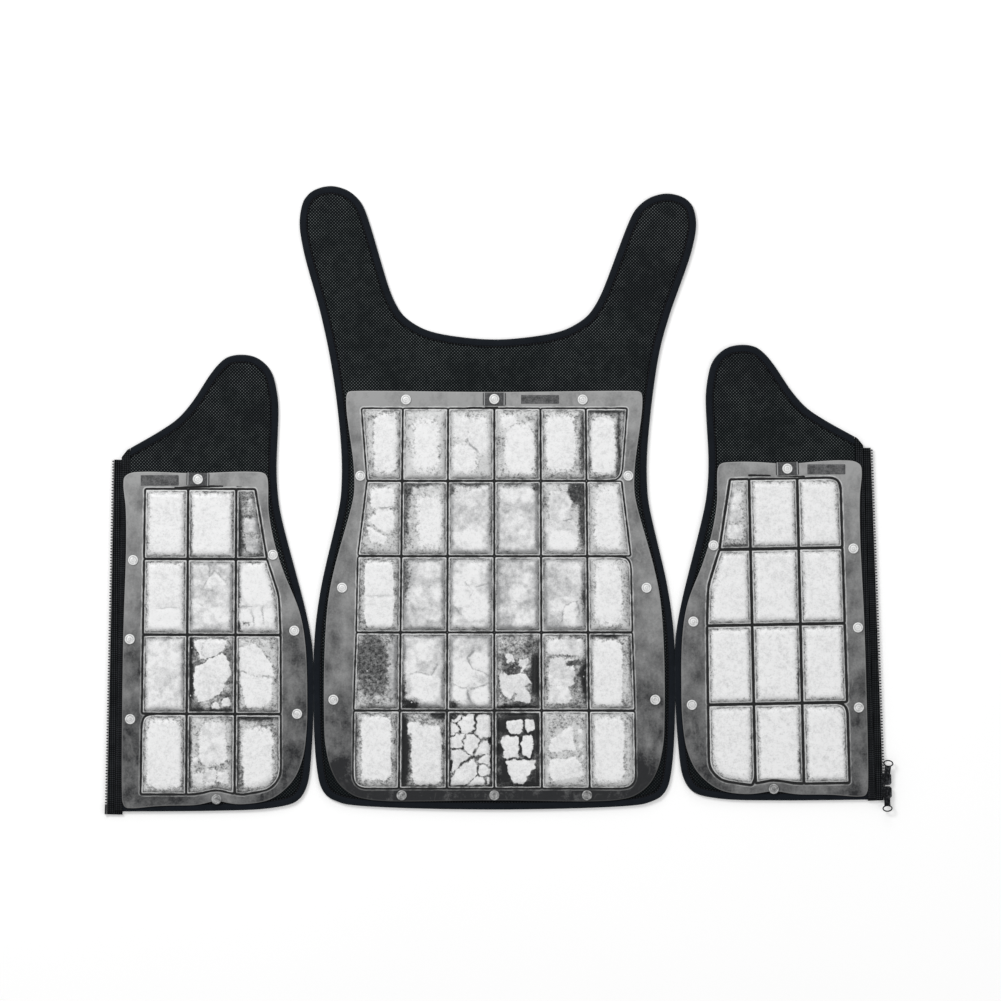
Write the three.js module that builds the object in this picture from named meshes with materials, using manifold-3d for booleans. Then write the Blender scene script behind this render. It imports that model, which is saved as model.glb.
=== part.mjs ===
// Cooling vest laid open and seen from its inner side: a back panel with two shoulder straps, two front
// panels whose side edges meet it, an ice sheet studded onto each panel, and a separating zip along each
// front's outer edge, whose right half carries two sliders.
//
// Millimetres. +X runs across the opened vest, +Y from hem to shoulders, +Z up from the surface that it
// lies on. The origin is the middle of the vest's footprint, on that surface.

import * as THREE from 'three';
import { mergeVertices } from 'three/addons/utils/BufferGeometryUtils.js';
import Module from 'manifold-3d';

// Panels
const BACK_WIDTH = 434; // across the widest part of the back panel
const BACK_NECK_HEIGHT = 564; // hem to the lowest point of the neckline
const STRAP_LENGTH_LEFT = 184; // lowest point of the neckline to the tip of the left strap
const STRAP_LENGTH_RIGHT = 175;
const STRAP_DRIFT = 5.5; // how far both strap tips lie to the right
const FRONT_WIDTH = 248; // tips of the zip teeth to the widest part of the side edge
const FRONT_LENGTH = 551; // hem to the shoulder tip
const PANEL_THICK = 6;
const FRONT_LEAN_LEFT = 1.2; // degrees that the top of the front leans inward
const FRONT_LEAN_RIGHT = 2.1;
const FRONT_RISE_LEFT = -2; // the front's hem above the back's
const FRONT_RISE_RIGHT = 12.5;
const FACET = 1.15; // how far a straight facet may leave a drawn curve

// Clearances
const GAP = 0.3; // between neighbouring pieces
const SEAM_GAP = 0.3; // between the edges of a front and the back

// Binding folded over the panels' edges
const BINDING_WIDTH = 10;
const BINDING_WALL = 1.3;
const BINDING_FOLD = 1.5; // thickness at the fold, outside the padding

// Zip
const ZIP_LENGTH = 422; // hem to the top of the teeth
const ZIP_EDGE = 11.5; // tips of the teeth to the panel's edge
const FACING_WIDTH = 10;
const TAPE_THICK = 0.8;
const TAPE_TAIL_LEFT = 3.6; // tape below the hem
const TAPE_TAIL_RIGHT = 1.2;
const TOOTH_PITCH = 3.5;
const TOOTH_DEPTH = 1.3;
const CHAIN_WIDTH = 2.4;
const CHAIN_THICK = 2.8;
const PIN_LENGTH = 12; // plain pin that ends each chain
const STOP_WIDTH = 4.2; // head below the lower slider
const STOP_HEIGHT = 2.2;

// Sliders and pulls
const SLIDER_LENGTH = 14;
const SLIDER_WIDTH = 12;
const SLIDER_CORNER = 2;
const SLIDER_SPACING = 15.8; // between the middles of the two sliders
const PLATE_THICK = 1.2;
const LIP_WIDTH = 0.9;
const LIP_CLEARANCE = 0.4; // lip to tape
const POST_WIDTH = 2.4;
const POST_LENGTH = 9;
const BAIL_WIDTH = 2.6;
const BAIL_HOLE_LENGTH = 3.8;
const BAIL_HOLE_HEIGHT = 2.3;
const BAIL_WALL = 1.1;
const PULL_LENGTH = 23.3; // hinge to the far end
const PULL_THICK = 1.4;
const PULL_NECK = 7.3;
const RING_WIDTH = 12.2;
const RING_HEIGHT = 8.3;
const RING_WALL = 1.5;
const PULL_SWING = 9; // degrees that the upper pull lies to the side

// Ice sheets
const FILM_THICK = 1;
const ICE_THICK = 8; // rise of a cell above the film
const WELD_WIDTH = 4.4; // between neighbouring cells
const CELL_CORNER = 6; // corner cut off each cell
const ROW_SLOPE = 0.018; // rise of a front sheet's rows towards the side

// Press studs and the tab under each sheet's top middle one
const STUD_SIDES = 8;
const STUD_RADIUS = 6.2;
const STUD_SHANK = 2;
const STUD_HOLE = 2.6;
const STUD_RISE = 1.6; // thickness of the cap
const STUD_CROWN = 4.8; // radius of the cap's flat top
const TAB_WIDTH = 27;
const TAB_HEIGHT = 15.6;
const TAB_THICK = 0.6;

// Right half of the back's edge from the hem's middle to the neck's level: out from the middle as a share of
// half BACK_WIDTH, and up from the hem as a share of BACK_NECK_HEIGHT.
const BACK_SIDE = [
  { out: 0, up: 0 },
  { out: 0.32, up: 0.003 },
  { out: 0.59, up: 0.006 },
  { out: 0.75, up: 0.008 },
  { out: 0.845, up: 0.014 },
  { out: 0.925, up: 0.029 },
  { out: 0.965, up: 0.055 },
  { out: 0.99, up: 0.125 },
  { out: 1, up: 0.233 },
  { out: 0.995, up: 0.36 },
  { out: 0.963, up: 0.462 },
  { out: 0.902, up: 0.564 },
  { out: 0.852, up: 0.658 },
  { out: 0.844, up: 0.743 },
  { out: 0.869, up: 0.86 },
  { out: 0.921, up: 0.987 },
];

// The strap from there over its tip and down the neckline: out as above, and up from the neckline's lowest
// point as a share of the strap's length.
const STRAP_EDGE = [
  { out: 1.001, up: 0.32 },
  { out: 1.08, up: 0.63 },
  { out: 1.096, up: 0.79 },
  { out: 1.078, up: 0.9 },
  { out: 1.03, up: 0.967 },
  { out: 0.93, up: 1 },
  { out: 0.83, up: 0.968 },
  { out: 0.761, up: 0.895 },
  { out: 0.718, up: 0.79 },
  { out: 0.675, up: 0.63 },
  { out: 0.624, up: 0.45 },
  { out: 0.567, up: 0.27 },
  { out: 0.512, up: 0.165 },
  { out: 0.455, up: 0.11 },
  { out: 0.373, up: 0.06 },
  { out: 0.2, up: 0.018 },
  { out: 0, up: 0 },
];

// Edge of a front panel: in from the teeth as a share of FRONT_WIDTH, and up from the hem as a share of
// FRONT_LENGTH. The rows with a negative share lie outside the zip, where the panel is cut off.
const FRONT_EDGE = [
  { in: -0.2, up: 0.05 },
  { in: -0.14, up: 0.003 },
  { in: 0.02, up: 0.001 },
  { in: 0.4, up: 0.004 },
  { in: 0.7, up: 0.01 },
  { in: 0.84, up: 0.017 },
  { in: 0.925, up: 0.03 },
  { in: 0.969, up: 0.055 },
  { in: 0.988, up: 0.1 },
  { in: 0.998, up: 0.2 },
  { in: 0.998, up: 0.3 },
  { in: 0.985, up: 0.375 },
  { in: 0.953, up: 0.443 },
  { in: 0.9, up: 0.53 },
  { in: 0.845, up: 0.612 },
  { in: 0.811, up: 0.68 },
  { in: 0.797, up: 0.75 },
  { in: 0.799, up: 0.83 },
  { in: 0.799, up: 0.89 },
  { in: 0.787, up: 0.927 },
  { in: 0.757, up: 0.968 },
  { in: 0.69, up: 0.994 },
  { in: 0.61, up: 1 },
  { in: 0.54, up: 0.992 },
  { in: 0.478, up: 0.963 },
  { in: 0.39, up: 0.9 },
  { in: 0.32, up: 0.861 },
  { in: 0.235, up: 0.832 },
  { in: 0.125, up: 0.804 },
  { in: 0.06, up: 0.782 },
  { in: -0.04, up: 0.72 },
  { in: -0.17, up: 0.69 },
];

// Right half of the back sheet's film, as shares of half BACK_WIDTH and of BACK_NECK_HEIGHT
const BACK_FILM = [
  { out: 0, up: 0.02 },
  { out: 0.68, up: 0.021 },
  { out: 0.79, up: 0.033 },
  { out: 0.875, up: 0.064 },
  { out: 0.93, up: 0.13 },
  { out: 0.94, up: 0.26 },
  { out: 0.935, up: 0.36 },
  { out: 0.915, up: 0.452 },
  { out: 0.868, up: 0.538 },
  { out: 0.821, up: 0.605 },
  { out: 0.778, up: 0.665 },
  { out: 0.774, up: 0.716 },
  { out: 0.796, up: 0.79 },
  { out: 0.818, up: 0.876 },
  { out: 0.806, up: 0.888 },
  { out: 0.7, up: 0.888 },
  { out: 0, up: 0.888 },
];

// Right half of the weld round the back sheet's cells
const BACK_FIELD = [
  { out: 0.742, up: 0.0447 },
  { out: 0.782, up: 0.0607 },
  { out: 0.778, up: 0.21 },
  { out: 0.764, up: 0.377 },
  { out: 0.755, up: 0.54 },
  { out: 0.704, up: 0.699 },
  { out: 0.735, up: 0.854 },
];
const BACK_ROWS = [0.0447, 0.211, 0.377, 0.539, 0.699, 0.854];
const BACK_COLUMNS = [
  { bottom: -0.527, top: -0.505 },
  { bottom: -0.263, top: -0.255 },
  { bottom: 0, top: 0 },
  { bottom: 0.263, top: 0.255 },
  { bottom: 0.527, top: 0.505 },
];
const BACK_STUDS = [
  { out: 0, up: 0.873 },
  { out: 0.488, up: 0.872 },
  { out: 0.74, up: 0.71 },
  { out: 0.841, up: 0.472 },
  { out: 0.889, up: 0.234 },
  { out: 0.512, up: 0.031 },
  { out: 0, up: 0.031 },
];

// Film of a front sheet, as shares of FRONT_WIDTH and FRONT_LENGTH
const FRONT_FILM = [
  { in: 0.1, up: 0.01 },
  { in: 0.27, up: 0.0145 },
  { in: 0.55, up: 0.0185 },
  { in: 0.68, up: 0.0225 },
  { in: 0.79, up: 0.032 },
  { in: 0.865, up: 0.054 },
  { in: 0.92, up: 0.085 },
  { in: 0.953, up: 0.125 },
  { in: 0.97, up: 0.2 },
  { in: 0.964, up: 0.3 },
  { in: 0.952, up: 0.38 },
  { in: 0.928, up: 0.435 },
  { in: 0.895, up: 0.476 },
  { in: 0.85, up: 0.52 },
  { in: 0.81, up: 0.57 },
  { in: 0.781, up: 0.615 },
  { in: 0.762, up: 0.665 },
  { in: 0.755, up: 0.72 },
  { in: 0.747, up: 0.74 },
  { in: 0.71, up: 0.745 },
  { in: 0.4, up: 0.74 },
  { in: 0.09, up: 0.737 },
  { in: 0.062, up: 0.727 },
  { in: 0.072, up: 0.66 },
  { in: 0.078, up: 0.56 },
  { in: 0.073, up: 0.42 },
  { in: 0.076, up: 0.26 },
  { in: 0.084, up: 0.12 },
  { in: 0.087, up: 0.02 },
];

// Weld round a front sheet's cells
const FRONT_FIELD = [
  { in: 0.172, up: 0.041 },
  { in: 0.67, up: 0.041 },
  { in: 0.79, up: 0.051 },
  { in: 0.85, up: 0.077 },
  { in: 0.843, up: 0.22 },
  { in: 0.834, up: 0.39 },
  { in: 0.822, up: 0.475 },
  { in: 0.76, up: 0.555 },
  { in: 0.697, up: 0.707 },
  { in: 0.163, up: 0.707 },
];
const FRONT_ROWS = [0.041, 0.217, 0.389, 0.554, 0.707];
const FRONT_COLUMNS = [
  { bottom: 0.393, top: 0.372 },
  { bottom: 0.627, top: 0.605 },
];
const FRONT_STUDS = [
  { in: 0.418, up: 0.727 },
  { in: 0.113, up: 0.548 },
  { in: 0.105, up: 0.376 },
  { in: 0.115, up: 0.202 },
  { in: 0.788, up: 0.566 },
  { in: 0.899, up: 0.402 },
  { in: 0.921, up: 0.221 },
  { in: 0.54, up: 0.032 },
];

// Crown of a cell: its section shrinks towards its middle as it rises
const CELL_CROWN = [
  { reach: 1, rise: -0.06 },
  { reach: 0.94, rise: 0.62 },
  { reach: 0.76, rise: 1 },
];

const MIDDLE = PANEL_THICK / 2;
const FILM_BOTTOM = PANEL_THICK + GAP;
const FILM_TOP = FILM_BOTTOM + FILM_THICK;

const wasm = await Module();
wasm.setup();

// Materials

function material(color, roughness, metalness = 0) {
  return new THREE.MeshStandardMaterial({ color, roughness, metalness });
}

const MESH_FABRIC = material(0x15191d, 0.9);
const BINDING_TAPE = material(0x0f1216, 0.8);
const ICE_FILM = material(0xd4d8da, 0.25);
const STUD_PLASTIC = material(0xc9cccd, 0.4);
const TAB_FABRIC = material(0x202327, 0.8);
const ZIP_TAPE = material(0x0d0f12, 0.9);
const ZIP_TEETH = material(0x101113, 0.35);
const SLIDER_METAL = material(0x1b1c1f, 0.35, 0.8);

// Joining and cutting

function solidOf(geometry) {
  const plain = geometry.clone();
  plain.deleteAttribute('normal');
  plain.deleteAttribute('uv');
  const merged = mergeVertices(plain, 1e-4);
  const triangles = merged.index.array;
  const kept = [];
  for (let i = 0; i < triangles.length; i += 3) {
    const [a, b, c] = triangles.slice(i, i + 3);
    if (a !== b && b !== c && c !== a) kept.push(a, b, c);
  }
  return new wasm.Manifold(
    new wasm.Mesh({
      numProp: 3,
      vertProperties: new Float32Array(merged.attributes.position.array),
      triVerts: new Uint32Array(kept),
    }),
  );
}

function geometryOf(solid) {
  const mesh = solid.getMesh();
  const geometry = new THREE.BufferGeometry();
  geometry.setAttribute('position', new THREE.BufferAttribute(new Float32Array(mesh.vertProperties), 3));
  geometry.setIndex(new THREE.BufferAttribute(new Uint32Array(mesh.triVerts), 1));
  const faceted = geometry.toNonIndexed();
  faceted.computeVertexNormals();
  return faceted;
}

function box(from, to) {
  const size = to.map((value, i) => value - from[i]);
  const geometry = new THREE.BoxGeometry(...size);
  geometry.translate(...from.map((value, i) => value + size[i] / 2));
  return geometry;
}

// Outlines

// Keeps the points that a polyline needs to stay within FACET of itself.
function thinned(points) {
  const first = points[0];
  const last = points[points.length - 1];
  const chord = last.clone().sub(first);
  let furthest = 0;
  let distance = 0;
  points.forEach((point, i) => {
    const offset = point.clone().sub(first);
    const away = chord.length() > 1e-6 ? Math.abs(offset.cross(chord)) / chord.length() : offset.length();
    if (away > distance) [furthest, distance] = [i, away];
  });
  if (distance <= FACET) return [first, last];
  const before = thinned(points.slice(0, furthest + 1));
  return [...before.slice(0, -1), ...thinned(points.slice(furthest))];
}

// A smooth closed outline through the rows, as a polygon that runs anticlockwise.
function smoothOutline(rows) {
  const through = rows.map((row) => new THREE.Vector3(row.x, row.y, 0));
  const curve = new THREE.CatmullRomCurve3(through, true, 'centripetal');
  const fine = curve.getPoints(rows.length * 14).map((point) => new THREE.Vector2(point.x, point.y));
  const half = Math.floor(fine.length / 2);
  const halves = [fine.slice(0, half + 1), fine.slice(half)];
  const outline = halves.flatMap((part) => thinned(part).slice(0, -1));
  return THREE.ShapeUtils.area(outline) > 0 ? outline : outline.reverse();
}

// A closed polygon moved inward by a distance, with mitred corners.
function inset(outline, distance) {
  return outline.map((point, i) => {
    const before = outline.at(i - 1);
    const after = outline[(i + 1) % outline.length];
    const inwardBefore = point.clone().sub(before).normalize().rotateAround(new THREE.Vector2(), Math.PI / 2);
    const inwardAfter = after.clone().sub(point).normalize().rotateAround(new THREE.Vector2(), Math.PI / 2);
    const mitre = inwardBefore.clone().add(inwardAfter);
    return point.clone().addScaledVector(mitre, distance / (1 + inwardBefore.dot(inwardAfter)));
  });
}

function mirrored(rows) {
  const other = rows.filter((row) => row.x > 0).map((row) => ({ ...row, x: -row.x }));
  return [...rows, ...other.reverse()];
}

// Solids from outlines

// A solid through rings of equally many points at given heights. It ends in flat faces, or closes on itself.
function ringSolid(rings, closesOnItself = false) {
  const count = rings[0].points.length;
  const positions = rings.flatMap(({ points, z }) => points.flatMap((point) => [point.x, point.y, z]));
  const faces = [];
  const bands = closesOnItself ? rings.length : rings.length - 1;
  for (let band = 0; band < bands; band += 1) {
    const low = band * count;
    const high = ((band + 1) % rings.length) * count;
    for (let i = 0; i < count; i += 1) {
      const next = (i + 1) % count;
      faces.push(low + i, low + next, high + next, low + i, high + next, high + i);
    }
  }
  if (!closesOnItself) {
    const top = (rings.length - 1) * count;
    THREE.ShapeUtils.triangulateShape(rings[0].points, []).forEach(([a, b, c]) => faces.push(a, c, b));
    THREE.ShapeUtils.triangulateShape(rings.at(-1).points, []).forEach((face) => {
      faces.push(...face.map((corner) => top + corner));
    });
  }
  const geometry = new THREE.BufferGeometry();
  geometry.setAttribute('position', new THREE.BufferAttribute(new Float32Array(positions), 3));
  geometry.setIndex(faces);
  geometry.computeVertexNormals();
  return geometry;
}

function plate(outline, from, to, holes = []) {
  const shape = new THREE.Shape(outline);
  shape.holes = holes.map((hole) => new THREE.Path(hole));
  const geometry = new THREE.ExtrudeGeometry(shape, { depth: to - from, bevelEnabled: false });
  geometry.translate(0, 0, from);
  return geometry;
}

function polygonRound(centre, radius, sides) {
  return Array.from({ length: sides }, (_, i) => {
    const angle = ((i + 0.5) / sides) * 2 * Math.PI;
    return new THREE.Vector2(centre.x + radius * Math.cos(angle), centre.y + radius * Math.sin(angle));
  });
}

// Panels: padding that thins towards its edge, and a binding folded over it

function paddedShell(outline) {
  const slope = (MIDDLE - BINDING_WALL) / (BINDING_WIDTH - BINDING_FOLD);
  const shoulder = BINDING_WIDTH + GAP;
  const lower = BINDING_WALL - slope * GAP + GAP * Math.hypot(1, slope);
  const tip = shoulder - (MIDDLE - lower) / slope;
  const section = [
    { in: shoulder, z: 0 },
    { in: shoulder, z: lower },
    { in: tip, z: MIDDLE },
    { in: shoulder, z: PANEL_THICK - lower },
    { in: shoulder, z: PANEL_THICK },
  ];
  return ringSolid(section.map((row) => ({ points: inset(outline, row.in), z: row.z })));
}

function foldedBinding(outline) {
  const section = [
    { in: 0, z: 0 },
    { in: 0, z: PANEL_THICK },
    { in: BINDING_WIDTH, z: PANEL_THICK },
    { in: BINDING_WIDTH, z: PANEL_THICK - BINDING_WALL },
    { in: BINDING_FOLD, z: MIDDLE },
    { in: BINDING_WIDTH, z: BINDING_WALL },
    { in: BINDING_WIDTH, z: 0 },
  ];
  return ringSolid(section.map((row) => ({ points: inset(outline, row.in), z: row.z })), true);
}

// Ice sheets: a flat film with a grid of crowned cells of ice welded into it

// The part of a polygon on the left of the line from a to b.
function clipped(polygon, a, b) {
  const side = (point) => b.clone().sub(a).cross(point.clone().sub(a));
  const kept = [];
  polygon.forEach((point, i) => {
    const next = polygon[(i + 1) % polygon.length];
    const here = side(point);
    const there = side(next);
    if (here >= 0) kept.push(point);
    if (here * there < 0) kept.push(point.clone().lerp(next, here / (here - there)));
  });
  return kept;
}

function withoutShortEdges(polygon, shortest) {
  return polygon.filter((point, i) => point.distanceTo(polygon.at(i - 1)) > shortest);
}

function cutCorners(polygon) {
  return polygon.flatMap((point, i) => {
    const before = polygon.at(i - 1);
    const after = polygon[(i + 1) % polygon.length];
    const turn = point.clone().sub(before).normalize().cross(after.clone().sub(point).normalize());
    if (turn < 0.6) return [point];
    return [before, after].map((other) => {
      const length = point.distanceTo(other);
      return point.clone().lerp(other, Math.min(CELL_CORNER / length, 0.3));
    });
  });
}

// Columns are lines from the bottom row to the top row, and rows rise by a slope.
function cellOutlines(field, columns, rows, slope) {
  const left = Math.min(...field.map((point) => point.x));
  const right = Math.max(...field.map((point) => point.x));
  const low = rows[0] - (right - left);
  const high = rows.at(-1) + (right - left);
  const edges = [
    [new THREE.Vector2(left - 1, low), new THREE.Vector2(left - 1, high)],
    ...columns.map(({ bottom, top }) => {
      const foot = new THREE.Vector2(bottom, rows[0]);
      const reach = new THREE.Vector2(top, rows.at(-1)).sub(foot);
      return [foot.clone().addScaledVector(reach, -1), foot.clone().addScaledVector(reach, 2)];
    }),
    [new THREE.Vector2(right + 1, low), new THREE.Vector2(right + 1, high)],
  ];
  const lines = rows.map((height) => [
    new THREE.Vector2(left - 1, height - (slope * (right - left)) / 2),
    new THREE.Vector2(right + 1, height + (slope * (right - left)) / 2),
  ]);
  const cells = [];
  for (let row = lines.length - 2; row >= 0; row -= 1) {
    for (let column = 0; column < edges.length - 1; column += 1) {
      let cell = clipped(field, ...lines[row]);
      cell = clipped(cell, lines[row + 1][1], lines[row + 1][0]);
      cell = clipped(cell, edges[column][1], edges[column][0]);
      cell = clipped(cell, ...edges[column + 1]);
      cells.push(cutCorners(inset(withoutShortEdges(cell, WELD_WIDTH / 2), WELD_WIDTH / 2)));
    }
  }
  return cells;
}

function crownedCell(outline) {
  const sum = outline.reduce((total, point) => total.add(point), new THREE.Vector2());
  const middle = sum.divideScalar(outline.length);
  const rings = CELL_CROWN.map(({ reach, rise }) => ({
    points: outline.map((point) => middle.clone().lerp(point, reach)),
    z: FILM_TOP + rise * ICE_THICK,
  }));
  return ringSolid(rings);
}

function iceSheet(film, cells, studs) {
  const holes = studs.map((stud) => polygonRound(stud, STUD_HOLE, STUD_SIDES).reverse());
  const sheet = solidOf(plate(film, FILM_BOTTOM, FILM_TOP, holes));
  return geometryOf(wasm.Manifold.union([sheet, ...cells.map((cell) => solidOf(crownedCell(cell)))]));
}

function pressStud(underCap) {
  const profile = [
    { r: 0, z: FILM_BOTTOM },
    { r: STUD_SHANK, z: FILM_BOTTOM },
    { r: STUD_SHANK, z: underCap },
    { r: STUD_RADIUS, z: underCap },
    { r: STUD_CROWN, z: underCap + STUD_RISE },
    { r: 0, z: underCap + STUD_RISE },
  ];
  const geometry = new THREE.LatheGeometry(profile.map(({ r, z }) => new THREE.Vector2(r, z)), STUD_SIDES);
  geometry.rotateX(Math.PI / 2);
  geometry.rotateZ(Math.PI / STUD_SIDES);
  return geometry;
}

function studTab(stud) {
  const bottom = FILM_TOP + GAP;
  const half = TAB_WIDTH / 2;
  const outline = [
    new THREE.Vector2(-half, -TAB_HEIGHT / 2),
    new THREE.Vector2(half, -TAB_HEIGHT / 2),
    new THREE.Vector2(half, TAB_HEIGHT / 2),
    new THREE.Vector2(-half, TAB_HEIGHT / 2),
  ].map((corner) => corner.add(stud));
  return plate(outline, bottom, bottom + TAB_THICK, [polygonRound(stud, STUD_HOLE, STUD_SIDES).reverse()]);
}

// Zip

function zipTape(tail) {
  const from = [CHAIN_WIDTH + GAP, -tail, MIDDLE - TAPE_THICK / 2];
  return box(from, [ZIP_EDGE + FACING_WIDTH, ZIP_LENGTH, MIDDLE + TAPE_THICK / 2]);
}

function zipTeeth(tail) {
  const start = PIN_LENGTH - tail + GAP;
  const count = Math.floor((ZIP_LENGTH - start) / TOOTH_PITCH);
  const end = start + count * TOOTH_PITCH;
  const outline = [new THREE.Vector2(CHAIN_WIDTH, start), new THREE.Vector2(CHAIN_WIDTH, end)];
  for (let tooth = count; tooth > 0; tooth -= 1) {
    outline.push(new THREE.Vector2(TOOTH_DEPTH, start + tooth * TOOTH_PITCH));
    outline.push(new THREE.Vector2(0, start + (tooth - 0.5) * TOOTH_PITCH));
  }
  outline.push(new THREE.Vector2(TOOTH_DEPTH, start));
  return plate(outline, MIDDLE - CHAIN_THICK / 2, MIDDLE + CHAIN_THICK / 2);
}

function zipPin(tail, headWidth) {
  const low = MIDDLE - CHAIN_THICK / 2;
  const high = MIDDLE + CHAIN_THICK / 2;
  const outline = [
    new THREE.Vector2(CHAIN_WIDTH, -tail),
    new THREE.Vector2(CHAIN_WIDTH, PIN_LENGTH - tail),
    new THREE.Vector2(0, PIN_LENGTH - tail),
    new THREE.Vector2(0, STOP_HEIGHT - tail),
    new THREE.Vector2(CHAIN_WIDTH - headWidth, STOP_HEIGHT - tail),
    new THREE.Vector2(CHAIN_WIDTH - headWidth, -tail),
  ];
  return plate(withoutShortEdges(outline, 0), low, high);
}

// A slider in its own frame: its middle is the middle between its two channels, and the chain runs in the
// one on the side of the panel.
const CHANNEL_MIDDLE = (POST_WIDTH + CHAIN_WIDTH) / 2 + GAP;

function slider() {
  const halfWidth = SLIDER_WIDTH / 2;
  const halfLength = SLIDER_LENGTH / 2;
  const gapLow = MIDDLE - CHAIN_THICK / 2 - GAP;
  const gapHigh = MIDDLE + CHAIN_THICK / 2 + GAP;
  const lip = TAPE_THICK / 2 + LIP_CLEARANCE;
  const top = gapHigh + PLATE_THICK;
  const outline = cutPlate(halfWidth, halfLength, SLIDER_CORNER);
  const post = [POST_WIDTH / 2, POST_LENGTH / 2];
  const parts = [
    plate(outline, gapLow - PLATE_THICK, gapLow),
    plate(outline, gapHigh, top),
    box([-post[0], -post[1], gapLow - PLATE_THICK / 2], [...post, top - PLATE_THICK / 2]),
  ];
  [-1, 1].forEach((side) => {
    const edges = [side * (halfWidth - LIP_WIDTH), side * halfWidth].sort((a, b) => a - b);
    const reach = halfLength - SLIDER_CORNER;
    parts.push(box([edges[0], -reach, gapLow - PLATE_THICK / 2], [edges[1], reach, MIDDLE - lip]));
    parts.push(box([edges[0], -reach, MIDDLE + lip], [edges[1], reach, top - PLATE_THICK / 2]));
  });
  const bailTop = top + BAIL_HOLE_HEIGHT + BAIL_WALL;
  const bailReach = BAIL_HOLE_LENGTH / 2 + BAIL_WALL;
  const bailFoot = top - PLATE_THICK / 2;
  const bail = solidOf(box([-BAIL_WIDTH / 2, -bailReach, bailFoot], [BAIL_WIDTH / 2, bailReach, bailTop]));
  const hole = solidOf(
    box([-BAIL_WIDTH, -BAIL_HOLE_LENGTH / 2, top], [BAIL_WIDTH, BAIL_HOLE_LENGTH / 2, bailTop - BAIL_WALL]),
  );
  return geometryOf(wasm.Manifold.union([...parts.map(solidOf), bail.subtract(hole)]));
}

function cutPlate(halfWidth, halfLength, corner) {
  return [
    [halfWidth - corner, -halfLength],
    [halfWidth, corner - halfLength],
    [halfWidth, halfLength - corner],
    [halfWidth - corner, halfLength],
    [corner - halfWidth, halfLength],
    [-halfWidth, halfLength - corner],
    [-halfWidth, corner - halfLength],
    [corner - halfWidth, -halfLength],
  ].map(([x, y]) => new THREE.Vector2(x, y));
}

const HINGE_HEIGHT = MIDDLE + CHAIN_THICK / 2 + GAP + PLATE_THICK + BAIL_HOLE_HEIGHT / 2;

// A pull in its own frame: it hinges about X at its origin and reaches along +Y.
function pull() {
  const half = PULL_THICK / 2;
  const neck = PULL_NECK / 2;
  const ringMiddle = PULL_LENGTH - RING_HEIGHT / 2;
  const start = Math.acos(PULL_NECK / RING_WIDTH);
  const shape = new THREE.Shape();
  shape.moveTo(-neck, -half);
  shape.lineTo(neck, -half);
  shape.absellipse(0, ringMiddle, RING_WIDTH / 2, RING_HEIGHT / 2, -start, Math.PI + start, false);
  const ringHole = new THREE.Path();
  const holeWidth = RING_WIDTH - 2 * RING_WALL;
  const holeHeight = RING_HEIGHT - 2 * RING_WALL;
  ringHole.absellipse(0, ringMiddle, holeWidth / 2, holeHeight / 2, 0, 2 * Math.PI, true);
  const swing = Math.sin(THREE.MathUtils.degToRad(PULL_SWING));
  const bailReach = BAIL_HOLE_LENGTH / 2 + BAIL_WALL;
  const bailSpace = BAIL_WIDTH / 2 + bailReach * swing + GAP;
  const bailCorner = Math.hypot(bailReach + (BAIL_WIDTH / 2) * swing, BAIL_HOLE_HEIGHT / 2 + BAIL_WALL);
  const windowEnd = bailCorner + GAP;
  const window = new THREE.Path([
    new THREE.Vector2(-bailSpace, half),
    new THREE.Vector2(-bailSpace, windowEnd),
    new THREE.Vector2(bailSpace, windowEnd),
    new THREE.Vector2(bailSpace, half),
  ]);
  shape.holes = [ringHole, window];
  const extrusion = { depth: PULL_THICK, bevelEnabled: false, curveSegments: 12 };
  const geometry = new THREE.ExtrudeGeometry(shape, extrusion);
  geometry.translate(0, 0, -half);
  return geometry;
}

// Assembly

function piece(name, geometry, look, x = 0, y = 0, z = 0) {
  const mesh = new THREE.Mesh(geometry, look);
  mesh.name = name;
  mesh.position.set(x, y, z);
  return mesh;
}

function backPoint(row) {
  return new THREE.Vector2((row.out * BACK_WIDTH) / 2, row.up * BACK_NECK_HEIGHT);
}

function backOutline() {
  const half = BACK_WIDTH / 2;
  const strap = (row, side, length) => ({
    x: side * row.out * half + STRAP_DRIFT * row.up,
    y: BACK_NECK_HEIGHT + row.up * length,
  });
  const sideRows = BACK_SIDE.map(backPoint);
  return smoothOutline([
    ...sideRows,
    ...STRAP_EDGE.map((row) => strap(row, 1, STRAP_LENGTH_RIGHT)),
    ...STRAP_EDGE.slice(0, -1).reverse().map((row) => strap(row, -1, STRAP_LENGTH_LEFT)),
    ...sideRows.slice(1).reverse().map((row) => ({ x: -row.x, y: row.y })),
  ]);
}

function addStuds(group, side, studs) {
  studs.forEach((stud, i) => {
    const lift = i === 0 ? GAP + TAB_THICK : 0;
    const number = String(i + 1).padStart(2, '0');
    const geometry = pressStud(FILM_TOP + GAP + lift);
    group.add(piece(`${side}_snap_${number}`, geometry, STUD_PLASTIC, stud.x, stud.y));
  });
}

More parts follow.
